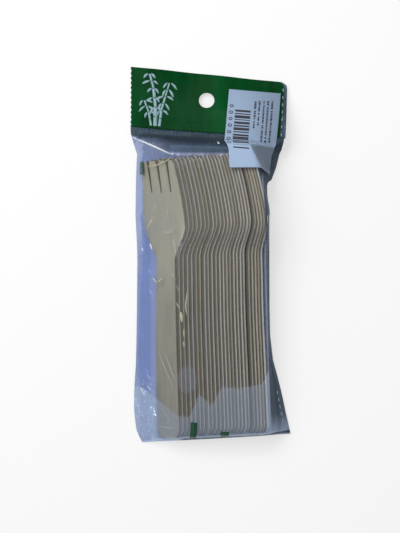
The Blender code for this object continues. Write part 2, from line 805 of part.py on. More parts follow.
def centre_on_origin():
    """Hang everything on an empty that puts the pack's bottom centre at the world origin."""
    pieces = [piece for piece in bpy.data.objects if piece.type == "MESH"]
    bpy.context.view_layer.update()
    points = np.array([piece.matrix_world @ vert.co for piece in pieces for vert in piece.data.vertices])
    low = points.min(axis=0)
    high = points.max(axis=0)
    holder = bpy.data.objects.new("pack", None)
    bpy.context.collection.objects.link(holder)
    for piece in pieces:
        piece.parent = holder
    holder.location = (-(low[0] + high[0]) / 2, -(low[1] + high[1]) / 2, -low[2])


def main():
    """Build every piece of the pack."""
    clear_scene()
    layers = fork_layers()
    places = stack_places(layers)
    build_forks(places, layers)
    stack = Stack(places, layers)
    bag, stations = build_bag(stack)
    header = build_header(stack, stations)
    lip = stations[-1]
    label = build_label(stack, stations, Surface(bag, header))
    build_barcode(lip, Surface(label))
    build_plant(lip, Surface(header))
    build_marks(stack, Surface(bag))
    centre_on_origin()


main()
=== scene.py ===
"""Wooden cutlery pack: pressed birch forks fanned in a clear film bag under a green header.

The pack lies on its back, header towards +Y. Plain numbers of length are millimetres and are
multiplied by MM where a mesh is made.
"""

import math
import random

import bmesh
import bpy
import numpy as np
from mathutils import Matrix, Vector
from mathutils.bvhtree import BVHTree


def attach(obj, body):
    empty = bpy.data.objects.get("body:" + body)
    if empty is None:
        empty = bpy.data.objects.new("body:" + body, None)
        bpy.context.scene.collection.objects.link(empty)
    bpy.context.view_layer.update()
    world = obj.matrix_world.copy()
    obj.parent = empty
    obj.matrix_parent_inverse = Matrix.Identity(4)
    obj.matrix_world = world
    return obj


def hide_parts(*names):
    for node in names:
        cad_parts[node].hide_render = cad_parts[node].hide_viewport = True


MM = 0.001
BODY = "root"
RAY_START = 500.0
EDGE_STEPS = 90
EDGE_HALVINGS = 8

# Camera and light, for a picture taken from straight above; a lamp has a power, a size and a place
CAMERA_PLACE = (-6.1, -7.1, 700.0)
CAMERA_LENS = 107.9
LAMPS = {"key": (4.7, 600.0, (-420.0, 330.0, 760.0)),
         "window": (1.2, 160.0, (-160.0, 520.0, 700.0))}
SKY_LEVEL = 0.4
FLOOR_SIZE = 3000.0
FLOOR_DROP = 0.2
FLOOR_GLOW = 0.6
WHITE = (1.0, 1.0, 1.0, 1.0)

# Fork, measured along its length from the handle's end
FORK_COUNT = 24
FORK_LENGTH = 160.0
FORK_THICKNESS = 1.15
HANDLE_END_WIDTH = 16.6
HANDLE_END_ROUND = 6.0
NECK_WIDTH = 13.2
NECK_PLACE = 102.5
HEAD_WIDTH = 30.0
HEAD_PLACE = 122.5
TIP_WIDTH = 23.2
TIP_TAPER = 1.1
TIP_TAPER_LENGTH = 2.4
SLOT_COUNT = 3
SLOT_LENGTH = 18.0
SLOT_ROOT = FORK_LENGTH - SLOT_LENGTH
SLOT_PITCH = 7.1
SLOT_ROOT_WIDTH = 1.2
SLOT_MOUTH_WIDTH = 2.0
DIP_DEPTH = 1.0
DIP_PLACE = 110.0
DIP_START = 62.0
TIP_RISE = 5.4
EDGE_ROUND = 0.16
TINE_COLUMNS = 3
TONE_SEED = 7
PALE_FORKS = (4, 18)
PALE_TONE = 0.02

# Lines across the bag and the header
PACK_MIDDLE = -3.35
BAG_END_Y = -107.43
BAG_END_SLOPE = 0.0575
LIP_Y = 74.02
LIP_SLOPE = -0.09
HEADER_FOOT_Y = 70.48
HEADER_TOP_Y = 105.02
HEADER_TOP_SLOPE = -0.104
BAG_ROWS = 190
BAG_COLUMNS = 128
HEADER_ROWS = 64
HEADER_COLUMNS = 150
HEADER_THICKNESS = 0.3
CLEAR_COLUMNS = 8
CLEAR_TOP_WIDTH = 1.6
CLEAR_FOOT_WIDTH = 3.2
SCALLOP_PITCH = 2.8
SCALLOP_DEPTH = 0.55
HANG_HOLE = (-2.25, 89.33, 9.0)
WELD_HEIGHT = 5.6
WELD_PITCH = 1.25
WALL_X = 30.4
EAR_PINCH = 2.0
EAR_Y = 43.6
EAR_START_Y = 22.0
VENT_ROWS = 8
VENT_DEPTH = 3.0
# Painted glare, painted shade and looseness of the header's clear border
BORDER_LAYERS = (0.0, 0.7, 0.3)


def mix(first, second, share):
    """Value a share of the way from first to second."""
    return first + (second - first) * share


def ease(value):
    """Smooth step from 0 to 1, for numbers and arrays."""
    value = np.clip(value, 0.0, 1.0)
    return value * value * (3.0 - 2.0 * value)


# Node trees

def maths(operation, turned=False):
    """A method that feeds a wire and what comes after it (turned: before it) to a maths node."""
    def method(self, *others):
        values = (self, *others)
        values = values[::-1] if turned else values
        return self.web.node("ShaderNodeMath", {"operation": operation}, dict(enumerate(values)))
    return method


class Wire:
    """An output socket that can be added and multiplied like a number."""

    def __init__(self, web, socket):
        self.web = web
        self.socket = socket

    __add__ = maths("ADD")
    __sub__ = maths("SUBTRACT")
    __mul__ = maths("MULTIPLY")
    __pow__ = maths("POWER")
    __radd__ = maths("ADD", True)
    __rsub__ = maths("SUBTRACT", True)
    __abs__ = maths("ABSOLUTE")
    sine = maths("SINE")
    most = maths("MAXIMUM")
    least = maths("MINIMUM")


class Web:
    """A node tree with one call for any node."""

    def __init__(self, tree):
        self.tree = tree

    def node(self, kind, settings=None, values=None, out=0):
        """Add a node, set it up, feed its sockets and return one of its outputs."""
        made = self.tree.nodes.new(kind)
        for name, value in (settings or {}).items():
            setattr(made, name, value)
        for name, value in (values or {}).items():
            socket = made.inputs[name]
            if isinstance(value, Wire):
                self.tree.links.new(value.socket, socket)
            else:
                socket.default_value = value
        return Wire(self, made.outputs[out]) if made.outputs else made

    def attribute(self, name):
        """A number stored on the mesh."""
        return self.node("ShaderNodeAttribute", {"attribute_name": name}, None, out="Fac")

    def noise(self, vector, scale, detail=2.0, rough=0.5, twist=0.0):
        """Soft noise from 0 to 1 over a vector."""
        values = {"Vector": vector, "Scale": scale, "Detail": detail,
                  "Roughness": rough, "Distortion": twist}
        return self.node("ShaderNodeTexNoise", None, values)

    def vector(self, x, y, z):
        return self.node("ShaderNodeCombineXYZ", None, {"X": x, "Y": y, "Z": z})

    def parts(self, vector):
        """The three numbers of a vector."""
        made = self.node("ShaderNodeSeparateXYZ", None, {"Vector": vector})
        return [Wire(self, socket) for socket in made.socket.node.outputs]

    def blend(self, share, first, second):
        """Colour a share of the way from first to second."""
        made = self.node("ShaderNodeMix", {"data_type": "RGBA"}, {0: share})
        sockets = made.socket.node.inputs
        for place, value in ((6, first), (7, second)):
            if isinstance(value, Wire):
                self.tree.links.new(value.socket, sockets[place])
            else:
                sockets[place].default_value = (*value, 1.0)
        return Wire(self, made.socket.node.outputs[2])

    def ramp(self, share, low, high):
        """0 below low, 1 above high, smooth between them."""
        settings = {"interpolation_type": "SMOOTHSTEP"}
        return self.node("ShaderNodeMapRange", settings, {0: share, 1: low, 2: high})


def finish_web(name):
    """The empty web of a new material."""
    look = bpy.data.materials.new(name)
    look.use_nodes = True
    look.node_tree.nodes.clear()
    web = Web(look.node_tree)
    web.look = look
    return web


def object_place(web):
    """Place on the object, in millimetres."""
    place = web.node("ShaderNodeTexCoord", None, None, out="Object")
    return web.node("ShaderNodeVectorMath", {"operation": "SCALE"}, {0: place, "Scale": 1 / MM})


def close_finish(web, shader):
    """Join a shader to the material's output and return the material."""
    output = web.tree.nodes.new("ShaderNodeOutputMaterial")
    web.tree.links.new(shader.socket, output.inputs["Surface"])
    return web.look


def bump(web, height, distance):
    """Normal from a height, of which 1 stands for a distance in millimetres."""
    return web.node("ShaderNodeBump", None, {"Height": height, "Distance": distance * MM, "Strength": 1.0})


def principled(web, values):
    """The usual shader with these values."""
    return web.node("ShaderNodeBsdfPrincipled", None, values)


# Colours of the wood: faces and cut edges, and painted shade on the faces that lie against a neighbouring
# fork
WOOD_LIGHT = (0.55, 0.475, 0.285)
WOOD_BAND = (0.44, 0.37, 0.22)
WOOD_GRAIN = (0.31, 0.25, 0.145)
WOOD_FLECK = (0.20, 0.15, 0.085)
WOOD_GREY = (0.47, 0.42, 0.29)
WOOD_HEAD = (0.86, 0.74, 0.42)
WOOD_GLEAM = (0.95, 0.84, 0.55)
WOOD_GAP_SHADE = (0.13, 0.096, 0.055)
EDGE_LIGHT = (1.0, 0.82, 0.50)
EDGE_PLY = (0.24, 0.18, 0.10)
EDGE_DULL = (0.36, 0.29, 0.18)
EDGE_PALE = (1.0, 0.94, 0.72)


def birch_finish():
    """Pressed birch: fine long grain, soft bands, small dark flecks and plies on the cut edge, a painted
    sheen that follows the bands and grain, and painted shade on faces that lie against a neighbouring fork.
    """
    web = finish_web("birch")
    flat = web.node("ShaderNodeUVMap", {"uv_map": "grain"})
    across, along, _ = web.parts(flat)
    tone = web.attribute("tone")
    edge = web.attribute("edge")
    gap_shade = web.attribute("gap_shade")
    drift = tone * 37.0
    bands = web.noise(web.vector(across * 0.35 + drift, along * 0.012, drift), 1.0, 3.0, 0.55, 0.4)
    grain = web.noise(web.vector(across * 3.2, along * 0.05 + drift, drift), 1.0, 4.0, 0.65)
    flecks = web.ramp(web.noise(web.vector(across * 4.5, along * 0.35, drift + 3.0), 1.0, 1.0), 0.66, 0.76)
    plies = web.noise(web.vector(across * 7.0, along * 0.03 + drift, 5.0), 1.0, 2.0)
    base = web.blend(web.ramp(bands, 0.3, 0.72), WOOD_LIGHT, WOOD_BAND)
    base = web.blend(web.ramp(grain, 0.38, 0.70) * 0.75, base, WOOD_GRAIN)
    base = web.blend(flecks * 0.5, base, WOOD_FLECK)
    base = web.blend(web.ramp(tone, 0.0, 1.0) * 0.4, base, WOOD_GREY)
    base = web.blend(web.ramp(along, 70.0, 125.0) * 0.4, base, WOOD_HEAD)
    # Painted sheen: a light cream where the bands and grain run high
    base = web.blend(web.ramp(bands * 0.6 + grain * 0.4, 0.46, 0.62) * 0.22, base, WOOD_GLEAM)
    base = web.blend(edge * 0.85, base, EDGE_LIGHT)
    base = web.blend(edge * web.ramp(plies, 0.48, 0.68) * 0.5, base, EDGE_PLY)
    base = web.blend(edge * web.ramp(tone, 0.55, 0.95) * 0.42, base, EDGE_DULL)
    base = web.blend(edge * (1.0 - web.ramp(tone, 0.05, 0.3)) * 0.7, base, EDGE_PALE)
    # Painted shade on the faces that lie against a neighbouring fork
    base = web.blend(gap_shade * 0.76, base, WOOD_GAP_SHADE)
    normal = bump(web, grain + plies * edge, 0.05)
    values = {"Base Color": base, "Roughness": 0.52 + grain * 0.2, "Normal": normal}
    return close_finish(web, principled(web, values))


# What the film's finish reads from its mesh, and its colours, among them painted glare and painted shade
FILM_LAYERS = ("painted_glare", "painted_shade", "loose")
FILM_TINT = (0.735, 0.785, 0.90, 1.0)
FILM_CAST = (0.70, 0.75, 1.0)
FILM_GLARE = (0.62, 0.76, 1.0)
FILM_BLUE = (0.20, 0.30, 0.85)
FILM_PAINTED_SHADE = (0.055, 0.085, 0.12)


def film_side(web, x, y, painted_glare):
    """The ribbed left margin, and the blue band between it and the forks."""
    fold = x + (y * 0.09).sine() * 0.5 - web.ramp(y, -30.0, 12.0) * 2.4
    margin = 1.0 - web.ramp(fold, -41.8, -41.0)
    band = (1.0 - web.ramp(x, -36.0, -33.0)) * (1.0 - margin) * (1.0 - web.ramp(y, 8.0, 30.0))
    ribs = (y * 5.2).sine() * 0.5 + 0.5
    return margin * (0.05 + ribs * 0.09), band * (1.0 - painted_glare.least(1.0))


def film_finish():
    """Clear film with a lilac cast: most light passes, and creases mirror more of it; painted glare whitens
    parts of it and painted shade darkens others.
    """
    web = finish_web("clear_film")
    x, y, _ = web.parts(object_place(web))
    painted_glare, painted_shade, loose = [web.attribute(name) for name in FILM_LAYERS]
    slant = web.node("ShaderNodeLayerWeight", None, {"Blend": 0.35}, out="Facing")
    crinkle = web.noise(web.vector(x * 0.16, y * 0.06, 0.0), 1.0, 3.0, 0.55, 1.2)
    fine = web.noise(web.vector(x * 0.9, y * 0.35, 4.0), 1.0, 2.0)
    streaks = web.ramp(web.noise(web.vector(x * 0.5, y * 0.12, 7.0), 1.0, 3.0, 0.6, 1.5), 0.45, 0.75)
    margin, band = film_side(web, x, y, painted_glare)
    # Painted glare and painted shade make the film less clear where they lie
    cover = 0.045 + slant ** 3.0 * 0.4 + painted_glare * 0.34 + painted_shade * (0.85 - streaks * 0.35)
    cover = cover + streaks * loose * 0.08 + margin + band * 0.07
    # Painted glare turns the glossy layer milky blue
    cast = web.blend(web.ramp(painted_glare, 0.0, 0.8), FILM_CAST, FILM_GLARE)
    cast = web.blend(band, cast, FILM_BLUE)
    # Painted shade turns the glossy layer dark
    cast = web.blend(web.ramp(painted_shade, 0.0, 0.8), cast, FILM_PAINTED_SHADE)
    height = crinkle * (0.35 + loose * 1.6) + fine * 0.06
    values = {"Base Color": cast,
              "Metallic": 1.0 - painted_glare * 0.4,
              "Roughness": 0.14 + fine * 0.1 + painted_shade * 0.5,
              "Normal": bump(web, height, 1.0)}
    gloss = principled(web, values)
    clear = web.node("ShaderNodeBsdfTransparent", None, {"Color": FILM_TINT})
    share = cover.least(0.95)
    return close_finish(web, web.node("ShaderNodeMixShader", None, {0: share, 1: clear, 2: gloss}))


GREEN_DARK = (0.0004, 0.038, 0.006)
GREEN_SHEEN = (0.0014, 0.062, 0.014)
GREEN_HIGHLIGHT = (0.002, 0.09, 0.022)
GREEN_MOTTLE = (0.001, 0.05, 0.013)


def header_finish():
    """Deep green print under glossy film, with soft waves of painted sheen and a painted highlight in a band
    near x = 5 mm.
    """
    web = finish_web("green_print")
    x, y, _ = web.parts(object_place(web))
    sweep = web.noise(web.vector(x * 0.075, y * 0.028, 2.0), 1.0, 2.0, 0.5, 0.6)
    mottle = web.noise(web.vector(x * 0.5, y * 0.4, 9.0), 1.0, 3.0)
    ridge = 1.0 - web.ramp(abs(x - 5.0), 1.0, 8.0)
    # Painted sheen: the green lightens in soft waves
    base = web.blend(web.ramp(sweep, 0.32, 0.68), GREEN_DARK, GREEN_SHEEN)
    # Painted highlight in a soft band near x = 5 mm
    base = web.blend(ridge * 0.6, base, GREEN_HIGHLIGHT)
    base = web.blend(mottle * 0.15, base, GREEN_MOTTLE)
    values = {"Base Color": base,
              "Roughness": 0.3 + mottle * 0.12,
              "Specular IOR Level": 0.03,
              "Normal": bump(web, sweep * 0.5 + mottle * 0.02, 1.0)}
    return close_finish(web, principled(web, values))


# Paper in painted light and shade: bluish shade on the header, lit on the flap, and deeper painted shade
# under the flap's fold
PAPER_SHADED_HEADER_LEFT = (0.29, 0.39, 0.55)
PAPER_SHADED_HEADER_RIGHT = (0.19, 0.26, 0.37)
PAPER_LIT_FLAP_DARK = (0.33, 0.45, 0.64)
PAPER_LIT_FLAP_LIGHT = (0.37, 0.49, 0.68)
PAPER_FOLD_SHADE = (0.13, 0.175, 0.235)


def paper_finish():
    """White label paper with a cool cast painted in for bluish light, painted lighter on the lit flap and
    darker towards its right on the header, with painted shade under the fold, fine fibre and faint mottling.
    """
    web = finish_web("label_paper")
    place = object_place(web)
    mottle = web.noise(place, 0.5, 3.0)
    fibre = web.noise(place, 4.0, 3.0, 0.6)
    x, y, _ = web.parts(place)
    # The flap is painted as lit, and the part on the header as in shade that deepens towards the right
    flap = web.blend(mottle, PAPER_LIT_FLAP_DARK, PAPER_LIT_FLAP_LIGHT)
    flat = web.blend(web.ramp(x, 14.0, 40.0), PAPER_SHADED_HEADER_LEFT, PAPER_SHADED_HEADER_RIGHT)
    base = web.blend(web.ramp(y + x * 0.1, 64.5, 66.5), flap, flat)
    # Painted shade on the part folded down the bag's right side
    shade = web.ramp(x - 22.0 - (59.8 - y) * 0.54, -0.4, 1.2) * web.ramp(63.5 - y - x * 0.02, 0.0, 2.5)
    base = web.blend(shade * 0.9, base, PAPER_FOLD_SHADE)
    values = {"Base Color": base, "Roughness": 0.55 + fibre * 0.15, "Normal": bump(web, fibre, 0.03)}
    return close_finish(web, principled(web, values))


def ink_finish(name, dark, light, roughness):
    """Printed ink that covers a little unevenly."""
    web = finish_web(name)
    mottle = web.noise(object_place(web), 1.6, 3.0)
    values = {"Base Color": web.blend(mottle, dark, light), "Roughness": roughness + mottle * 0.15}
    return close_finish(web, principled(web, values))


def crease_finish(name, color, strength):
    """Marks laid on the film: painted glints along its creases, and the weld's ribs and beads."""
    web = finish_web(name)
    mottle = web.noise(object_place(web), 0.8, 3.0)
    dull = tuple(value * 0.8 for value in color)
    values = {"Base Color": web.blend(mottle, color, dull),
              "Roughness": 0.25 + mottle * 0.2,
              "Alpha": strength}
    return close_finish(web, principled(web, values))


def floor_finish():
    """Matt white table that glows a little where it is seen past the film."""
    web = finish_web("table")
    matt = principled(web, {"Base Color": WHITE, "Roughness": 0.9})
    white = web.node("ShaderNodeEmission", None, {"Color": WHITE, "Strength": 1.0})
    path = web.node("ShaderNodeLightPath").socket.node.outputs
    seen = Wire(web, path["Is Camera Ray"]) + Wire(web, path["Is Glossy Ray"])
    seen = (seen + Wire(web, path["Is Transmission Ray"])).least(1.0)
    bare = 1.0 - Wire(web, path["Transparent Depth"]).least(1.0)
    glow = seen * bare * FLOOR_GLOW
    return close_finish(web, web.node("ShaderNodeMixShader", None, {0: glow, 1: matt, 2: white}))


# Meshes

def add_object(name, data):
    """A new object in the scene."""
    made = bpy.data.objects.new(name, data)
    bpy.context.collection.objects.link(made)
    return made


def mesh_piece(name, points, faces, looks=()):
    """An object from points in metres."""
    mesh = bpy.data.meshes.new(name)
    mesh.from_pydata([tuple(point) for point in points], [], faces)
    for look in looks:
        mesh.materials.append(look)
    return add_object(name, mesh)


def apply_modifiers(piece):
    """Turn what a piece's modifiers make into its plain mesh."""
    graph = bpy.context.evaluated_depsgraph_get()
    mesh = bpy.data.meshes.new_from_object(piece.evaluated_get(graph))
    piece.modifiers.clear()
    piece.data = mesh


def set_values(made, name, values, domain="POINT"):
    """Store one number for each point or face."""
    layer = made.data.attributes.new(name, "FLOAT", domain)
    layer.data.foreach_set("value", np.asarray(values, dtype=np.float32).ravel())


def smooth(mesh):
    """Shade a mesh smooth."""
    mesh.polygons.foreach_set("use_smooth", [True] * len(mesh.polygons))
    mesh.update()


def grid_quads(rows, columns):
    """Faces over a grid of points."""
    lows = [row * columns + column for row in range(rows - 1) for column in range(columns - 1)]
    return [(low, low + 1, low + columns + 1, low + columns) for low in lows]


def close_faces(quads, count):
    """Faces of a closed body: quads above, the same ones below, count points further on, and rims."""
    directed = {(quad[corner - 1], quad[corner]) for quad in quads for corner in range(4)}
    rims = sorted(edge for edge in directed if (edge[1], edge[0]) not in directed)
    below = [tuple(number + count for number in quad[::-1]) for quad in quads]
    return quads + below + [(b, a, a + count, b + count) for a, b in rims]


def closed_sheet(name, xs, ys, upper, lower, looks):
    """A closed body between two grids of heights over the same places, in millimetres."""
    sides = [np.stack((xs, ys, heights), axis=2).reshape(-1, 3) for heights in (upper, lower)]
    faces = close_faces(grid_quads(*xs.shape), xs.size)
    return mesh_piece(name, np.concatenate(sides) * MM, faces, looks)


def blur(grid, passes):
    """Soften a grid of numbers."""
    for _ in range(passes):
        wide = np.pad(grid, 1, mode="edge")
        grid = (wide[:-2, 1:-1] + wide[2:, 1:-1] + wide[1:-1, :-2] + wide[1:-1, 2:] + 2 * grid) / 6
    return grid


def surface_of(*pieces):
    """Ray tree over pieces."""
    points = []
    faces = []
    for piece in pieces:
        start = len(points)
        points += [vert.co for vert in piece.data.vertices]
        faces += [[start + number for number in face.vertices] for face in piece.data.polygons]
    return BVHTree.FromPolygons(points, faces)


def surface_height(tree, x, y, side=1):
    """Height in metres of the upper (side 1) or lower (side -1) surface, or nothing beside it."""
    start = Vector((x, y, side * RAY_START * MM))
    hit = tree.ray_cast(start, Vector((0, 0, -side)))[0]
    return None if hit is None else hit.z


class Solid:
    """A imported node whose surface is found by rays, in millimetres."""

    def __init__(self, name):
        self.tree = surface_of(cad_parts[name])

    def height(self, x, y, side):
        """The same height as surface_height gives, in millimetres."""
        found = surface_height(self.tree, x * MM, y * MM, side)
        return None if found is None else found / MM

    def edge(self, y_at, start, stop):
        """Outermost place between start and stop where the solid begins."""
        outside = start
        for number in range(EDGE_STEPS + 1):
            x = mix(start, stop, number / EDGE_STEPS)
            if self.height(x, y_at(x), 1) is not None:
                inside = x
                break
            outside = x
        else:
            return start
        for _ in range(EDGE_HALVINGS):
            middle = (inside + outside) / 2
            if self.height(middle, y_at(middle), 1) is None:
                outside = middle
            else:
                inside = middle
        return inside

    def heights(self, xs, ys, side):
        """Heights over grids of places, with gaps filled from their neighbours."""
        places = zip(xs.ravel(), ys.ravel())
        found = np.array([self.height(x, y, side) for x, y in places], dtype=float).reshape(xs.shape)
        for row in found:
            known = ~np.isnan(row)
            if known.any():
                row[~known] = np.interp(np.flatnonzero(~known), np.flatnonzero(known), row[known])
        full = np.flatnonzero(~np.isnan(found[:, 0]))
        nearest = full[np.abs(np.arange(len(found))[:, None] - full).argmin(axis=1)]
        return found[nearest]


def line_places(solid, y, slope, shares, reach=56.0):
    """X and Y of places along one line across a solid, from its left edge to its right edge."""
    def y_at(x):
        return y + slope * (x - PACK_MIDDLE)
    left = solid.edge(y_at, PACK_MIDDLE - reach, PACK_MIDDLE)
    right = solid.edge(y_at, PACK_MIDDLE + reach, PACK_MIDDLE)
    xs = mix(left, right, shares)
    return xs, y_at(xs)


# Forks

def half_width(place):
    """Half of the fork's width at a distance from the handle's end."""
    end = HANDLE_END_WIDTH / 2
    if place < HANDLE_END_ROUND:
        reach = HANDLE_END_ROUND - place
        return end - HANDLE_END_ROUND + math.sqrt(HANDLE_END_ROUND**2 - reach**2)
    if place < NECK_PLACE:
        return mix(end, NECK_WIDTH / 2, place / NECK_PLACE)
    if place < HEAD_PLACE:
        share = float(ease((place - NECK_PLACE) / (HEAD_PLACE - NECK_PLACE)))
        return mix(NECK_WIDTH / 2, HEAD_WIDTH / 2, share)
    share = (place - HEAD_PLACE) / (FORK_LENGTH - HEAD_PLACE)
    return mix(HEAD_WIDTH / 2, TIP_WIDTH / 2, share**1.5)


def bow(place):
    """Height of the pressed fork's middle layer."""
    if place < DIP_PLACE:
        return -DIP_DEPTH * float(ease((place - DIP_START) / (DIP_PLACE - DIP_START)))
    share = (place - DIP_PLACE) / (FORK_LENGTH - DIP_PLACE)
    return mix(-DIP_DEPTH, TIP_RISE, share**1.8)


def tine_columns(place):
    """Places across the fork of every tine's columns, at a distance along it."""
    slot = mix(SLOT_ROOT_WIDTH, SLOT_MOUTH_WIDTH, max(0.0, place - SLOT_ROOT) / SLOT_LENGTH)
    centres = [(number - (SLOT_COUNT - 1) / 2) * SLOT_PITCH for number in range(SLOT_COUNT)]
    lefts = [-half_width(place)] + [centre + slot / 2 for centre in centres]
    rights = [centre - slot / 2 for centre in centres] + [half_width(place)]
    reach = max(0.0, 1 - (FORK_LENGTH - place) / TIP_TAPER_LENGTH)
    taper = TIP_TAPER * reach**1.6
    shares = [number / (TINE_COLUMNS - 1) for number in range(TINE_COLUMNS)]
    tines = zip(lefts, rights)
    return [mix(left + taper, right - taper, share) for left, right in tines for share in shares]


def fork_rows():
    """Places along the fork, and how many of them come before the slots."""
    rounds = [HANDLE_END_ROUND * (1 - math.cos(math.radians(angle))) for angle in range(0, 90, 13)]
    handle = list(np.arange(HANDLE_END_ROUND, NECK_PLACE - 4, 3.2))
    head = list(np.arange(NECK_PLACE - 4, SLOT_ROOT, 1.6)) + [SLOT_ROOT]
    tines = list(np.linspace(SLOT_ROOT, FORK_LENGTH - TIP_TAPER_LENGTH, 9)[1:])
    tips = [FORK_LENGTH - TIP_TAPER_LENGTH * share for share in (0.7, 0.45, 0.25, 0.1, 0.0)]
    body = rounds + handle + head
    return body + tines + tips, len(body)


def fork_outline():
    """Flat points of one fork, and the quads between them."""
    rows, solid_rows = fork_rows()
    shares = [place / half_width(SLOT_ROOT) for place in tine_columns(SLOT_ROOT)]
    columns = len(shares)
    flat = []
    for number, place in enumerate(rows):
        if number < solid_rows:
            flat += [(share * half_width(place), place) for share in shares]
        else:
            flat += [(x, place) for x in tine_columns(place)]
    quads = []
    for quad in grid_quads(len(rows), columns):
        row, column = divmod(quad[0], columns)
        if row < solid_rows - 1 or column % TINE_COLUMNS != TINE_COLUMNS - 1:
            quads.append(quad)
    return flat, quads


def fork_mesh():
    """One fork in its own frame, in millimetres, with rounded edges."""
    flat, quads = fork_outline()
    half = FORK_THICKNESS / 2
    points = [(x, y, bow(y) + side * half) for side in (1, -1) for x, y in flat]
    mesh = bmesh.new()
    made = [mesh.verts.new(point) for point in points]
    for face in close_faces(quads, len(flat)):
        mesh.faces.new([made[number] for number in face])
    mesh.normal_update()
    sharp = [edge for edge in mesh.edges if edge.calc_face_angle(0.0) > math.radians(57.0)]
    bmesh.ops.bevel(mesh, geom=sharp, offset=EDGE_ROUND, segments=2, profile=0.5, affect="EDGES")
    bmesh.ops.recalc_face_normals(mesh, faces=mesh.faces)
    data = bpy.data.meshes.new("fork_master")
    mesh.to_mesh(data)
    mesh.free()
    return data


def fork_seat(name):
    """Where a packed fork lies, from the four corners of its handle's end."""
    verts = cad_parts[name].data.vertices
    corners = {tuple(round(value, 7) for value in vert.co) for vert in verts}
    ends = [Vector(corner) for corner in sorted(corners, key=lambda corner: corner[1])[:4]]
    first = ends[0]
    thick, wide, _ = sorted((corner - first for corner in ends[1:]), key=lambda step: step.length)
    across = wide.normalized() * (1 if wide.x > 0 else -1)
    up = thick.normalized() * (1 if thick.z > 0 else -1)
    along = up.cross(across).normalized()
    middle = sum(ends, Vector()) / 4
    turn = Matrix((across, along, up)).transposed()
    return Matrix.Translation(middle) @ turn.to_4x4()


def map_grain(data, places):
    """Map the grain along the fork: across and through its thickness, and along it."""
    layer = data.uv_layers.new(name="grain")
    corners = np.zeros(len(data.loops), dtype=np.int32)
    data.loops.foreach_get("vertex_index", corners)
    x, y, z = places[corners].T
    layer.data.foreach_set("uv", np.stack((x + z * 0.9, y), axis=1).astype(np.float32).ravel())


def build_forks(look):
    """The forks, each in its packed place with its own tone and grain."""
    chance = random.Random(TONE_SEED)
    master = fork_mesh()
    places = np.array([vert.co for vert in master.vertices])
    rim = np.array([abs(face.normal.z) < 0.5 for face in master.polygons])
    upper = np.array([face.normal.z > 0.9 for face in master.polygons])
    lower = np.array([face.normal.z < -0.9 for face in master.polygons])
    for number in range(1, FORK_COUNT + 1):
        name = f"fork_{number:02d}"
        data = master.copy()
        data.name = f"birch_{name}"
        data.transform(Matrix.Scale(MM, 4))
        data.transform(fork_seat(name))
        data.materials.append(look)
        fork = add_object(f"birch_{name}", data)
        map_grain(data, places)
        tone = PALE_TONE if number in PALE_FORKS else chance.random()
        set_values(fork, "tone", [tone] * len(data.vertices))
        set_values(fork, "edge", rim, "FACE")
        # Painted shade: the upper faces of all but the first fork and the lower faces of all but the last
        # lie against a neighbour
        set_values(fork, "gap_shade", upper * (number > 1) + lower * (number < FORK_COUNT), "FACE")
        smooth(data)
        finish_piece(fork, "wood", name)
    bpy.data.meshes.remove(master)


# Bag

def bag_grid(solid):
    """Flat places of the bag's rows, from the bottom weld to the lip."""
    turn = np.linspace(0, 1, BAG_COLUMNS)
    shares = mix(turn, 0.5 - 0.5 * np.cos(math.pi * turn), 0.25) * 0.9994 + 0.0003
    xs = []
    ys = []
    for share in np.linspace(0, 1, BAG_ROWS):
        y = mix(BAG_END_Y, LIP_Y, share)
        slope = mix(BAG_END_SLOPE, LIP_SLOPE, share)
        row_x, row_y = line_places(solid, y, slope, shares)
        pinch = EAR_PINCH * ease((row_y - EAR_START_Y) / 12.0) * ease((EAR_Y - row_y) / 2.2)
        xs.append(row_x - pinch * ease((shares - 0.86) / 0.14))
        ys.append(row_y)
    return np.array(xs), np.array(ys)


def crease(xs, ys, path, width):
    """How near each place is to a crease's path: 1 on it, 0 further off than its width."""
    nearest = np.full(xs.shape, np.inf)
    for (ax, ay), (bx, by) in zip(path, path[1:]):
        dx = bx - ax
        dy = by - ay
        share = np.clip(((xs - ax) * dx + (ys - ay) * dy) / math.hypot(dx, dy)**2, 0, 1)
        nearest = np.minimum(nearest, np.hypot(xs - ax - share * dx, ys - ay - share * dy))
    return np.clip(1 - nearest / width, 0, 1)


NECK_CREASE = ((-45.7, 68.3), (-34.8, 62.6), (-21.6, 55.7))
NECK_CREASE_END = (-18.0, 50.0)

# Each crease's path, width and height
BAG_CREASES = (
    (NECK_CREASE, 2.4, 0.8),
    (((-39.9, 4.2), (-38.7, 1.3)), 1.4, 0.4),
    (((-34.9, 6.4), (-33.7, 2.4)), 1.4, 0.4),
    (((-41.0, -76.7), (-38.1, -82.5)), 1.4, 0.5),
    (((3.7, 63.8), (4.8, 61.5)), 1.4, 0.5),
    (((34.0, -58.0), (37.0, -72.0), (38.0, -84.0)), 1.6, 0.35),
    (((36.5, -62.0), (39.5, -76.0), (41.5, -96.0)), 1.4, 0.3),
    (((34.5, -70.0), (35.5, -88.0)), 1.5, 0.3),
)

# Upper edge of the bright painted glare over the handles' ends
GLARE_LINE = ((-42.0, -76.0), (-31.4, -82.0), (-18.7, -91.8), (-12.3, -92.5), (-8.3, -83.4), (-6.5, -79.5),
             (0.7, -85.5), (6.5, -74.9), (17.0, -75.6), (29.3, -73.0), (34.0, -64.0))

# Painted shade of the right wall at places along it
RIGHT_SHADE = ((-103.0, 0.35), (-92.0, 0.7), (-70.0, 0.95), (-50.0, 0.8),
               (20.0, 0.75), (44.0, 0.9), (60.0, 1.0))


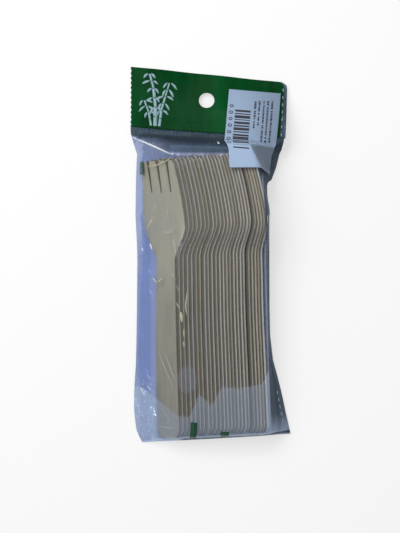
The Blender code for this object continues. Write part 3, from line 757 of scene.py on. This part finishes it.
def film_shade(xs, ys):
    """Painted shade, how dark the film is painted: in the neck, at the weld band under the header, down the
    right wall and along the bottom weld.
    """
    foot = HEADER_FOOT_Y + LIP_SLOPE * (xs - PACK_MIDDLE)
    neck = ease((ys - 54.5 + 0.02 * xs) / 3.0) * ease((foot + 0.4 - ys) / 1.0)
    neck = neck * mix(0.35, 0.75, ease((xs + 44.0) / 26.0)) * mix(0.5, 1.0, crease_side(xs, ys))
    band = ease((ys - foot + WELD_HEIGHT) / 0.5) * ease((foot + 0.4 - ys) / 1.0) * 0.55
    wall = ease((xs - WALL_X - 0.035 * (-10.0 - ys)) / 1.6) * np.interp(ys, *zip(*RIGHT_SHADE))
    end = BAG_END_Y + BAG_END_SLOPE * (xs - PACK_MIDDLE)
    weld = ease((end + 2.6 - ys) / 0.8) * ease((ys - end - 0.6) / 0.5) * ease((xs + 22.0) / 8.0) * 0.9
    return np.clip(np.maximum.reduce((neck + band, wall, weld)), 0, 1)


def crease_side(xs, ys):
    """1 above the neck's long crease and to its right, 0 well below it."""
    line = np.interp(xs, *zip(*NECK_CREASE, NECK_CREASE_END))
    return ease((ys - line + 0.5) / 1.5)


def close_vent(lower):
    """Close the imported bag's small vent in its back, where rays from below pass inside."""
    low = lower.copy()
    for _ in range(VENT_ROWS):
        wide = np.pad(low, 1, mode="edge")
        low = np.minimum.reduce((wide[:-2, 1:-1], wide[2:, 1:-1], wide[1:-1, :-2], wide[1:-1, 2:], low))
    return np.where(lower - low > VENT_DEPTH, low, lower)


def film_glare(xs, ys):
    """Painted glare, a milky reflection painted on the film: over the handles' ends, in a round patch, at a
    corner and by the heads.
    """
    edge = np.interp(xs, *zip(*GLARE_LINE))
    head = ease((ys - 2.0) / 12.0) * ease((46.0 - ys) / 12.0) * ease((-16.0 - xs) / 8.0) * 0.25
    patch = ease((1.1 - np.hypot((xs + 13.5) / 5.5, (ys + 71.6) / 7.5)) / 0.15) * 0.4
    corner = ease((-29.0 - xs) / 4.0) * ease((-66.0 - ys) / 10.0) * 0.6
    return np.maximum(ease((edge - ys) / 1.2) * 0.75 + head, patch) + corner


def build_bag(look):
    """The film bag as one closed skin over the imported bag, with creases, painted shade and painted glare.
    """
    solid = Solid("film_bag")
    xs, ys = bag_grid(solid)
    upper = solid.heights(xs, ys, 1)
    lower = close_vent(solid.heights(xs, ys, -1))
    inside = upper - lower > 2.0
    upper = np.where(inside, np.maximum(blur(upper, 6), lower + 1.0), upper)
    for path, width, height in BAG_CREASES:
        upper = upper + height * crease(xs, ys, path, width)**2
    bag = closed_sheet("clear_bag", xs, ys, upper, np.minimum(lower, upper - 0.2), [look])
    taut = ease((upper - 6.0) / 4.0)
    # Painted glare, painted shade and looseness go on the upper skin; the lower skin gets none
    for name, values in zip(FILM_LAYERS, (film_glare(xs, ys), film_shade(xs, ys), 1.0 - taut)):
        set_values(bag, name, np.concatenate((values.ravel(), np.zeros(xs.size))))
    smooth(bag.data)
    finish_piece(bag, "film", "film_bag")
    return bag


# Header

def header_grid(solid):
    """Flat places of the header's rows: printed columns with a scalloped left edge, then clear ones."""
    green_shares = np.linspace(0, 1, HEADER_COLUMNS)
    clear_shares = np.linspace(0, 1, CLEAR_COLUMNS)[1:]
    xs = []
    ys = []
    for share in np.linspace(0.0006, 0.9994, HEADER_ROWS):
        y = mix(HEADER_FOOT_Y, HEADER_TOP_Y, share)
        slope = mix(LIP_SLOPE, HEADER_TOP_SLOPE, share)
        ends, _ = line_places(solid, y, slope, np.array((0.0003, 0.9997)))
        beat = abs(math.sin(math.pi * (y - HEADER_FOOT_Y) / SCALLOP_PITCH))
        left = ends[0] + SCALLOP_DEPTH * beat
        border = ends[1] - mix(CLEAR_FOOT_WIDTH, CLEAR_TOP_WIDTH, share)
        row_x = np.concatenate((mix(left, border, green_shares), mix(border, ends[1], clear_shares)))
        xs.append(row_x)
        ys.append(y + slope * (row_x - PACK_MIDDLE))
    return np.array(xs), np.array(ys)


def build_header(green, clear):
    """The printed header over the bag's lip, with a clear right border, a scalloped edge and a hole."""
    solid = Solid("header_strip")
    xs, ys = header_grid(solid)
    upper = blur(solid.heights(xs, ys, 1), 5)
    header = closed_sheet("printed_header", xs, ys, upper, upper - HEADER_THICKNESS, [green, clear])
    for face in header.data.polygons:
        column = min(number % xs.shape[1] for number in face.vertices)
        face.material_index = 1 if column >= HEADER_COLUMNS - 1 else 0
    smooth(header.data)
    punch_hole(header)
    # The header's film takes no painted glare, fairly dark painted shade and some looseness; only its clear
    # border reads them
    for name, value in zip(FILM_LAYERS, BORDER_LAYERS):
        set_values(header, name, np.full(len(header.data.vertices), value))
    finish_piece(header, "header_green", "header_strip")
    return header


def punch_hole(header):
    """Cut the round hang hole straight through."""
    x, y, diameter = HANG_HOLE
    place = (x * MM, y * MM, 0)
    bpy.ops.mesh.primitive_cylinder_add(vertices=64, radius=diameter / 2 * MM, depth=60 * MM, location=place)
    cutter = bpy.context.object
    cut = header.modifiers.new("hang hole", "BOOLEAN")
    cut.operation = "DIFFERENCE"
    cut.solver = "EXACT"
    cut.object = cutter
    apply_modifiers(header)
    bpy.data.objects.remove(cutter, do_unlink=True)


# Label

LABEL_LEFT = ((10.8, 95.9), (8.0, 66.0), (7.6, 64.6), (9.9, 59.0), (10.4, 48.2))
LABEL_RIGHT = ((40.9, 93.4), (37.6, 62.8), (37.0, 61.6), (34.9, 56.2), (33.4, 44.6))
LABEL_POINT = 0.77
LABEL_BREAKS = (0.0, 0.60, 0.64, 0.74, 1.0)
LABEL_ROWS = 90
LABEL_COLUMNS = 60
LABEL_THICKNESS = 0.14
FLAP_START = 0.66
FLAP_LIFT = 0.9
FLAP_DROP = 0.8


def label_edge(corners, share):
    """A point along one side of the label."""
    return [np.interp(share, LABEL_BREAKS, values) for values in zip(*corners)]


def raise_above(grid, xs, ys, on, gap):
    """Keep a grid of heights a little above finished pieces."""
    for number, (x, y) in enumerate(zip(xs.ravel(), ys.ravel())):
        height = surface_height(on, x * MM, y * MM)
        if height is not None:
            grid.flat[number] = max(grid.flat[number], height / MM + gap)


def flap_share(place):
    """0 on the stuck part of the label, growing to 1 at the flap's end."""
    return ease((place - FLAP_START) / (1 - FLAP_START))


def label_grid():
    """Flat places of the label's rows, with a flap that hangs to a point at its right."""
    shares = np.linspace(0, 1, LABEL_COLUMNS)
    xs = []
    ys = []
    for place in np.linspace(0, 1, LABEL_ROWS):
        left = label_edge(LABEL_LEFT, place)
        right = label_edge(LABEL_RIGHT, place)
        hang = np.clip((shares - LABEL_POINT) / (1 - LABEL_POINT), 0, 1)
        xs.append(mix(left[0], right[0], shares))
        ys.append(mix(left[1], right[1], mix(shares, hang, flap_share(place))))
    return np.array(xs), np.array(ys)


def build_label(look, on):
    """The paper label: flat on the header, creased at the shoulder, with a loose flap over the tines."""
    xs, ys = label_grid()
    upper = blur(Solid("label").heights(xs, ys, 1), 3)
    flap = flap_share(np.linspace(0, 1, LABEL_ROWS)[:, None])
    fold = (xs - 22.5) - (61.0 - ys) * 0.52
    upper = upper + FLAP_LIFT * flap * (1 - ease((fold + 1.0) / 3.0)) - FLAP_DROP * flap * ease(fold / 6.0)
    raise_above(upper, xs, ys, on, LABEL_THICKNESS + 0.1)
    label = closed_sheet("paper_label", xs, ys, upper, upper - LABEL_THICKNESS, [look])
    smooth(label.data)
    finish_piece(label, "label_paper", "label")
    return label


# Strokes and rows, made by node trees

STROKE_STEP = 0.6
KNOB_SIDES = 8
KNOB_RINGS = 5
COPY_SIZES = (0.9, 1.1)
COPY_LIFT = 0.02


def start_group(name, kinds):
    """A node group with geometry in and out, its web, its inputs' identifiers and their wires."""
    group = bpy.data.node_groups.new(name, "GeometryNodeTree")
    ends = [("Geometry", "INPUT", "Geometry"), ("Geometry", "OUTPUT", "Geometry")]
    keys = {}
    for key, end, kind in ends + [(key, "INPUT", kind) for key, kind in kinds.items()]:
        made = group.interface.new_socket(name=key, in_out=end, socket_type="NodeSocket" + kind)
        keys[key] = made.identifier
    web = Web(group)
    given = web.node("NodeGroupInput")
    inputs = {socket.name: Wire(web, socket) for socket in given.socket.node.outputs}
    return group, web, keys, inputs


def end_group(web, shape, look):
    """Realize the shape, give it its material and join it to the output."""
    shape = web.node("GeometryNodeRealizeInstances", None, {"Geometry": shape})
    shape = web.node("GeometryNodeSetMaterial", None, {"Geometry": shape, "Material": look})
    output = web.tree.nodes.new("NodeGroupOutput")
    web.tree.links.new(shape.socket, output.inputs[0])


def stroke_group():
    """Flat strokes along edges: each is as wide as its own number says and can taper to points."""
    kinds = {"Taper": "Float", "Thickness": "Float", "Look": "Material"}
    group, web, keys, inputs = start_group("strokes", kinds)
    curve = web.node("GeometryNodeMeshToCurve", None, {"Mesh": inputs["Geometry"]})
    values = {"Curve": curve, "Length": STROKE_STEP * MM}
    curve = web.node("GeometryNodeResampleCurve", {"mode": "LENGTH"}, values)
    curve = web.node("GeometryNodeSetCurveNormal", {"mode": "Z_UP"}, {"Curve": curve})
    width = web.node("GeometryNodeInputNamedAttribute", {"data_type": "FLOAT"}, {"Name": "width"})
    share = web.node("GeometryNodeSplineParameter")
    swell = (share * math.pi).sine().most(0.0) ** 0.7
    radius = width * (1.0 - inputs["Taper"] + inputs["Taper"] * swell).most(0.02)
    values = {"Width": MM, "Height": inputs["Thickness"] * MM}
    profile = web.node("GeometryNodeCurvePrimitiveQuadrilateral", None, values)
    values = {"Curve": curve, "Profile Curve": profile, "Scale": radius, "Fill Caps": True}
    shape = web.node("GeometryNodeCurveToMesh", None, values)
    end_group(web, shape, inputs["Look"])
    return group, keys


def row_group():
    """Copies of one small shape in a row along edges, turned with them, in slightly varied sizes."""
    kinds = {"Copy": "Object", "Spacing": "Float", "Seed": "Int", "Look": "Material"}
    group, web, keys, inputs = start_group("row", kinds)
    curve = web.node("GeometryNodeMeshToCurve", None, {"Mesh": inputs["Geometry"]})
    values = {"Curve": curve, "Length": inputs["Spacing"]}
    points = web.node("GeometryNodeCurveToPoints", {"mode": "LENGTH"}, values)
    along = Wire(web, points.socket.node.outputs["Tangent"])
    axes = {"axis": "Y", "pivot_axis": "Z"}
    turn = web.node("FunctionNodeAlignRotationToVector", axes, {"Vector": along})
    values = {2: COPY_SIZES[0], 3: COPY_SIZES[1], "Seed": inputs["Seed"]}
    size = web.node("FunctionNodeRandomValue", {"data_type": "FLOAT"}, values, out=1)
    space = {"transform_space": "ORIGINAL"}
    copy = web.node("GeometryNodeObjectInfo", space, {"Object": inputs["Copy"]}, out="Geometry")
    values = {"Points": points, "Instance": copy, "Rotation": turn, "Scale": size}
    end_group(web, web.node("GeometryNodeInstanceOnPoints", None, values), inputs["Look"])
    return group, keys


def run_group(name, source, tree, **values):
    """Run a node group on a mesh of edges and return its result as a plain mesh piece."""
    group, keys = tree
    piece = add_object(name, source)
    made = piece.modifiers.new(name, "NODES")
    made.node_group = group
    for key, value in values.items():
        made[keys[key]] = value
    apply_modifiers(piece)
    piece.data.name = name
    return piece


def edge_mesh(paths):
    """Flat edges along paths given as (width, points), in millimetres."""
    points = []
    edges = []
    widths = []
    for width, path in paths:
        start = len(points)
        points += [(x * MM, y * MM, 0.0) for x, y in path]
        edges += [(start + number, start + number + 1) for number in range(len(path) - 1)]
        widths += [width] * len(path)
    mesh = bpy.data.meshes.new("paths")
    mesh.from_pydata(points, edges, [])
    layer = mesh.attributes.new("width", "FLOAT", "POINT")
    layer.data.foreach_set("value", widths)
    return mesh


def lay_on(piece, tree, lift):
    """Drop a flat piece onto finished pieces, so that it follows them at a small height."""
    for vert in piece.data.vertices:
        height = surface_height(tree, vert.co.x, vert.co.y)
        if height is not None:
            vert.co.z += height + lift * MM
    piece.data.update()


def strokes(name, paths, look, on, slot, lift, taper, thickness, *nodes):
    """Draw strokes on finished pieces."""
    piece = run_group(name, edge_mesh(paths), STROKES, Taper=taper, Thickness=thickness, Look=look)
    lay_on(piece, on, lift)
    finish_piece(piece, slot, *nodes)


def knob(name, width, length, height):
    """A small rounded bar that rows are made of: rings of points between two poles."""
    points = [(0.0, 0.0, 0.5)]
    for number in range(1, KNOB_RINGS):
        fall = math.pi * number / KNOB_RINGS
        wide = math.sin(fall) / 2
        for side in range(KNOB_SIDES):
            turn = 2 * math.pi * side / KNOB_SIDES
            points.append((wide * math.cos(turn), wide * math.sin(turn), math.cos(fall) / 2))
    points.append((0.0, 0.0, -0.5))
    last = len(points) - 1
    faces = []
    for side in range(KNOB_SIDES):
        following = (side + 1) % KNOB_SIDES
        faces.append((0, 1 + side, 1 + following))
        faces.append((last, last - KNOB_SIDES + following, last - KNOB_SIDES + side))
        for low in range(1, last - KNOB_SIDES, KNOB_SIDES):
            high = low + KNOB_SIDES
            faces.append((low + side, high + side, high + following, low + following))
    made = mesh_piece(name, np.array(points) * (width * MM, length * MM, height * MM), faces)
    smooth(made.data)
    return made


def row(name, path, look, on, slot, size, spacing, seed):
    """Lay a row of small copies on finished pieces."""
    shape = knob(name + "_one", *size)
    paths = edge_mesh([(1.0, path)])
    piece = run_group(name, paths, ROWS, Copy=shape, Spacing=spacing * MM, Seed=seed, Look=look)
    bpy.data.objects.remove(shape, do_unlink=True)
    lay_on(piece, on, COPY_LIFT)
    finish_piece(piece, slot)


# Prints

BAR_TOP = 82.9
BAR_LEFT = 14.2
BAR_LENGTH = 8.9
BAR_WIDTHS = (1.2, 0.6, 1.6, 0.5, 1.3, 0.8, 1.5, 0.6, 1.0, 1.7, 0.7, 1.2, 0.5, 0.7)
BAR_STEP = 1.78
DIGIT_COUNT = 7
DIGIT_STEP = 3.85
DIGIT_TOP = 85.6
DIGIT_SIZE = (1.9, 1.5)
RULE_COLUMNS = ((25.5, 89.4, 16.0), (27.8, 89.8, 15.0), (30.4, 90.1, 24.5),
                (32.7, 90.3, 25.0), (35.1, 90.5, 25.0))
RULE_SEED = 5
INK_LIFT = 0.05
INK_THICKNESS = 0.05
LABEL_SLANT = -0.09
LABEL_DRIFT = 0.094
LABEL_DRIFT_END = 18.0


def label_spot(x, y):
    """A place on the label's upright grid, turned with the printed label."""
    down = min(BAR_TOP - y, LABEL_DRIFT_END)
    return (x - LABEL_DRIFT * down, y + LABEL_SLANT * (x - BAR_LEFT))


def ring(x, y, width, height):
    """Outline of a plain nought on the label."""
    turns = [2 * math.pi * number / 8 for number in range(9)]
    spots = [(x + width / 2 * math.sin(turn), y + height / 2 * math.cos(turn)) for turn in turns]
    return [label_spot(*spot) for spot in spots]


def build_bars(look, on):
    """Plain bars, a row of plain noughts and broken lines in place of the label's words."""
    bars = []
    y = BAR_TOP
    for width in BAR_WIDTHS:
        bars.append((width, [label_spot(BAR_LEFT, y), label_spot(BAR_LEFT + BAR_LENGTH, y)]))
        y -= BAR_STEP
    strokes("label_bars", bars, look, on, "label_ink", INK_LIFT, 0.0, INK_THICKNESS, "barcode_print")
    lines = []
    for number in range(DIGIT_COUNT):
        lines.append((0.5, ring(BAR_LEFT - 2.3, DIGIT_TOP - DIGIT_STEP * number, *DIGIT_SIZE)))
    chance = random.Random(RULE_SEED)
    for x, top, length in RULE_COLUMNS:
        y = top
        while y > top - length:
            run = chance.uniform(0.5, 1.2)
            lines.append((chance.uniform(0.9, 1.5), [label_spot(x, y), label_spot(x, y - run)]))
            y -= run + chance.choice((0.3, 0.35, 0.4, 1.1))
    strokes("label_rules", lines, look, on, "label_ink", INK_LIFT, 0.15, INK_THICKNESS)


PLANT_STALKS = (((-32.2, 74.8), (-32.0, 86.0), (-33.2, 97.0), (-35.5, 105.5)),
                ((-29.8, 74.5), (-28.6, 84.0), (-26.2, 92.0), (-23.8, 100.0)),
                ((-34.6, 75.0), (-36.0, 83.0), (-38.6, 90.0)))
PLANT_WIDTHS = (2.3, 1.6, 1.3)
PLANT_SEED = 21
PLANT_THICKNESS = 0.06
LEAF_LIFT = 0.07


def leaf(chance, joint, side):
    """A drooping leaf's width and path, from a joint to its left (side -1) or right (side 1)."""
    angle = math.radians(chance.uniform(-70, -20))
    long = chance.uniform(3.6, 5.6)
    root = (joint[0] + side * 0.9, joint[1] + 0.3)
    tip = (root[0] + side * long * math.cos(angle), root[1] + long * math.sin(angle))
    bend = (mix(root[0], tip[0], 0.5) + side * 0.2, mix(root[1], tip[1], 0.5) + 0.2)
    return (chance.uniform(1.1, 1.5), [root, bend, tip])


def build_plant(look, on):
    """A pale cane plant: jointed stalks with slender drooping leaves."""
    chance = random.Random(PLANT_SEED)
    stalks = []
    leaves = []
    for width, line in zip(PLANT_WIDTHS, PLANT_STALKS):
        for place, ((ax, ay), (bx, by)) in enumerate(zip(line, line[1:])):
            for part in range(2):
                start = (mix(ax, bx, part / 2), mix(ay, by, part / 2))
                stop = (mix(ax, bx, part / 2 + 0.46), mix(ay, by, part / 2 + 0.46))
                stalks.append((width * (1 - 0.22 * place), [start, stop]))
                if place or part:
                    leaves += [leaf(chance, stop, side) for side in (-1, 1)]
    strokes("plant_stalks", stalks, look, on, "plant_print", INK_LIFT, 0.0, PLANT_THICKNESS, "plant_print")
    strokes("plant_leaves", leaves, look, on, "plant_print", LEAF_LIFT, 1.0, PLANT_THICKNESS)


MARK_STROKES = {"mark_left": (2.0, ((-39.9, 53.4), (-39.8, 45.7))),
                "mark_bottom_1": (3.7, ((-9.5, -96.2), (-10.1, -105.5))),
                "mark_bottom_2": (4.8, ((8.1, -101.4), (7.9, -105.0)))}
MARK_LIFT = 0.3
MARK_THICKNESS = 0.03


def build_marks(look, on):
    """The film's three green register marks."""
    for name, (width, path) in MARK_STROKES.items():
        paths = [(width, path)]
        strokes("print_" + name, paths, look, on, "mark_green", MARK_LIFT, 0.0, MARK_THICKNESS, name)


# Film details: widths and paths of the painted glints along creases

WHITE_GLINTS = (
    (1.0, NECK_CREASE),
    (0.9, ((-34.9, 6.4), (-33.7, 2.4))),
    (0.6, ((-39.9, 4.2), (-38.9, 1.5))),
    (0.6, ((-41.0, -76.7), (-38.1, -82.5))),
    (1.0, ((3.7, 63.8), (4.8, 61.5))),
    (0.5, ((40.4, 64.1), (40.2, 63.4))),
    (0.5, ((39.3, 61.8), (39.1, 61.1))),
    (0.4, ((38.4, 58.6), (38.3, 58.0))),
    (0.4, ((-12.5, 64.0), (-12.0, 63.4))),
    (0.35, ((-24.8, 65.5), (-24.4, 65.2))),
)
CREAM_GLINTS = (
    (0.55, ((-36.9, 50.1), (-31.2, 50.4), (-25.5, 52.4), (-20.9, 55.3))),
    (0.8, ((-13.3, -21.0), (-14.3, -29.8), (-13.5, -35.0))),
    (1.7, ((-17.0, -32.6), (-16.3, -39.0))),
    (0.9, ((-15.3, -42.5), (-15.1, -47.5))),
    (0.7, ((-15.5, -49.5), (-15.2, -53.0))),
    (0.6, ((-19.6, -27.5), (-17.8, -31.0))),
    (0.8, ((-36.4, 15.0), (-32.8, 21.1))),
    (0.5, ((-33.2, 25.4), (-30.9, 28.2))),
    (0.8, ((-33.8, -13.2), (-30.8, -16.6))),
    (0.9, ((-30.8, -16.2), (-27.6, -14.0))),
    (0.5, ((-22.6, -10.4), (-21.0, -12.8))),
)
FAINT_GLINTS = (
    (0.5, ((-30.3, -55.8), (-20.9, -78.0))),
    (0.5, ((-26.9, -55.2), (-20.0, -73.4))),
    (0.4, ((-30.0, -86.0), (-22.5, -97.0))),
    (0.5, ((-31.0, -99.2), (-19.9, -100.0))),
    (0.9, ((-22.0, 9.0), (-20.4, 4.0), (-19.7, -1.5))),
    (0.6, ((-29.0, 13.0), (-24.0, 12.0), (-19.0, 16.0))),
    (0.5, ((-25.2, 28.0), (-23.8, 18.0))),
    (0.4, ((-20.0, -17.0), (-17.6, -22.0))),
)

# Colour, strength, lift and paths of each kind of painted glint
PAINTED_GLINTS = {"white": ((0.86, 0.90, 0.95), 0.9, 0.2, WHITE_GLINTS),
           "cream": ((0.66, 0.64, 0.46), 0.75, 0.2, CREAM_GLINTS),
           "faint": ((0.60, 0.60, 0.56), 0.4, 0.06, FAINT_GLINTS)}
CREASE_THICKNESS = 0.1
LIP_SPAN = (-45.5, 38.5)
RIDGE_SIZE = (WELD_HEIGHT * 0.95, 0.5, 0.3)
RIDGE_SEED = 2

# Path, size, pitch and seed of each row of dashes
DASHES = {"top": (((42.3, 95.5), (41.0, 76.0), (40.6, 68.5)), (0.75, 2.3, 0.3), 3.9, 4),
          "low": (((38.6, -80.0), (40.2, -88.0), (41.8, -96.5)), (0.8, 2.6, 0.3), 3.8, 6)}


def build_film_details(bag, header):
    """Painted white and cream glints along creases, the weld's fine ridges, and dashes down both right
    edges.
    """
    on = surface_of(bag, header)
    # Painted glints: white, cream and faint lines along the film's creases
    for name, (color, strength, lift, paths) in PAINTED_GLINTS.items():
        look = crease_finish("crease_" + name, color, strength)
        strokes("creases_" + name, paths, look, on, "film", lift, 1.0, CREASE_THICKNESS)
    # The weld's ribs, coloured dark as painted shade below the header
    ridge = crease_finish("weld_ridge", (0.13, 0.19, 0.20), 0.55)
    middle = HEADER_FOOT_Y - WELD_HEIGHT / 2
    foot = [(x, middle + LIP_SLOPE * (x - PACK_MIDDLE)) for x in LIP_SPAN]
    row("weld_ridges", foot, ridge, on, "film", RIDGE_SIZE, WELD_PITCH, RIDGE_SEED)
    # The side welds' beads, coloured pale as a painted highlight
    dash = crease_finish("weld_dash", (0.34, 0.42, 0.52), 0.8)
    for name, (path, size, pitch, seed) in DASHES.items():
        row("weld_dashes_" + name, path, dash, on, "film", size, pitch, seed)


# Stage

def finish_piece(piece, slot, *nodes):
    """Hand a piece to the frame."""
    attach(piece, BODY)
    if nodes:
        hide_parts(*nodes)


def build_stage():
    """White table and soft light."""
    half = FLOOR_SIZE / 2 * MM
    signs = ((-1, -1), (1, -1), (1, 1), (-1, 1))
    corners = [(half * x, half * y, -FLOOR_DROP * MM) for x, y in signs]
    table = mesh_piece("table", corners, [(0, 1, 2, 3)], [floor_finish()])
    for name, (power, size, place) in LAMPS.items():
        lamp = bpy.data.lights.new(name, "AREA")
        lamp.size = size * MM
        lamp.energy = power
        spot = add_object(name, lamp)
        spot.location = Vector(place) * MM
        spot.rotation_euler = (-spot.location).to_track_quat("-Z", "Y").to_euler()
    sky = bpy.data.worlds.new("sky")
    sky.use_nodes = True
    ground = sky.node_tree.nodes["Background"]
    ground.inputs["Color"].default_value = WHITE
    ground.inputs["Strength"].default_value = SKY_LEVEL
    bpy.context.scene.world = sky


def build_camera():
    """A camera that looks straight down."""
    lens = bpy.data.cameras.new("camera")
    lens.lens = CAMERA_LENS
    lens.sensor_width = 36.0
    lens.sensor_fit = "HORIZONTAL"
    camera = add_object("camera", lens)
    camera.location = Vector(CAMERA_PLACE) * MM
    bpy.context.scene.camera = camera
    bpy.context.scene.view_settings.view_transform = "Standard"


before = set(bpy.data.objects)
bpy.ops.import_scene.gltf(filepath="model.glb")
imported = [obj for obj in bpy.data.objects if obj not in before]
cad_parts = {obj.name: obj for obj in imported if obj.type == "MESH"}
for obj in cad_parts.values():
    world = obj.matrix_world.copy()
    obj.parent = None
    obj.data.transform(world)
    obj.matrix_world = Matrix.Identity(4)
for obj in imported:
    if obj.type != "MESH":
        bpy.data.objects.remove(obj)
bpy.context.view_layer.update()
build_stage()
build_camera()
STROKES = stroke_group()
ROWS = row_group()
film = film_finish()
build_forks(birch_finish())
bag = build_bag(film)
header = build_header(header_finish(), film)
label = build_label(paper_finish(), surface_of(bag, header))
label_ink = ink_finish("label_ink", (0.012, 0.013, 0.02), (0.03, 0.03, 0.045), 0.5)
build_bars(label_ink, surface_of(label))
plant_ink = ink_finish("plant_print", (0.21, 0.36, 0.40), (0.30, 0.45, 0.52), 0.35)
build_plant(plant_ink, surface_of(header))
mark_ink = ink_finish("mark_green", (0.002, 0.055, 0.025), (0.004, 0.07, 0.035), 0.3)
build_marks(mark_ink, surface_of(bag))
build_film_details(bag, header)
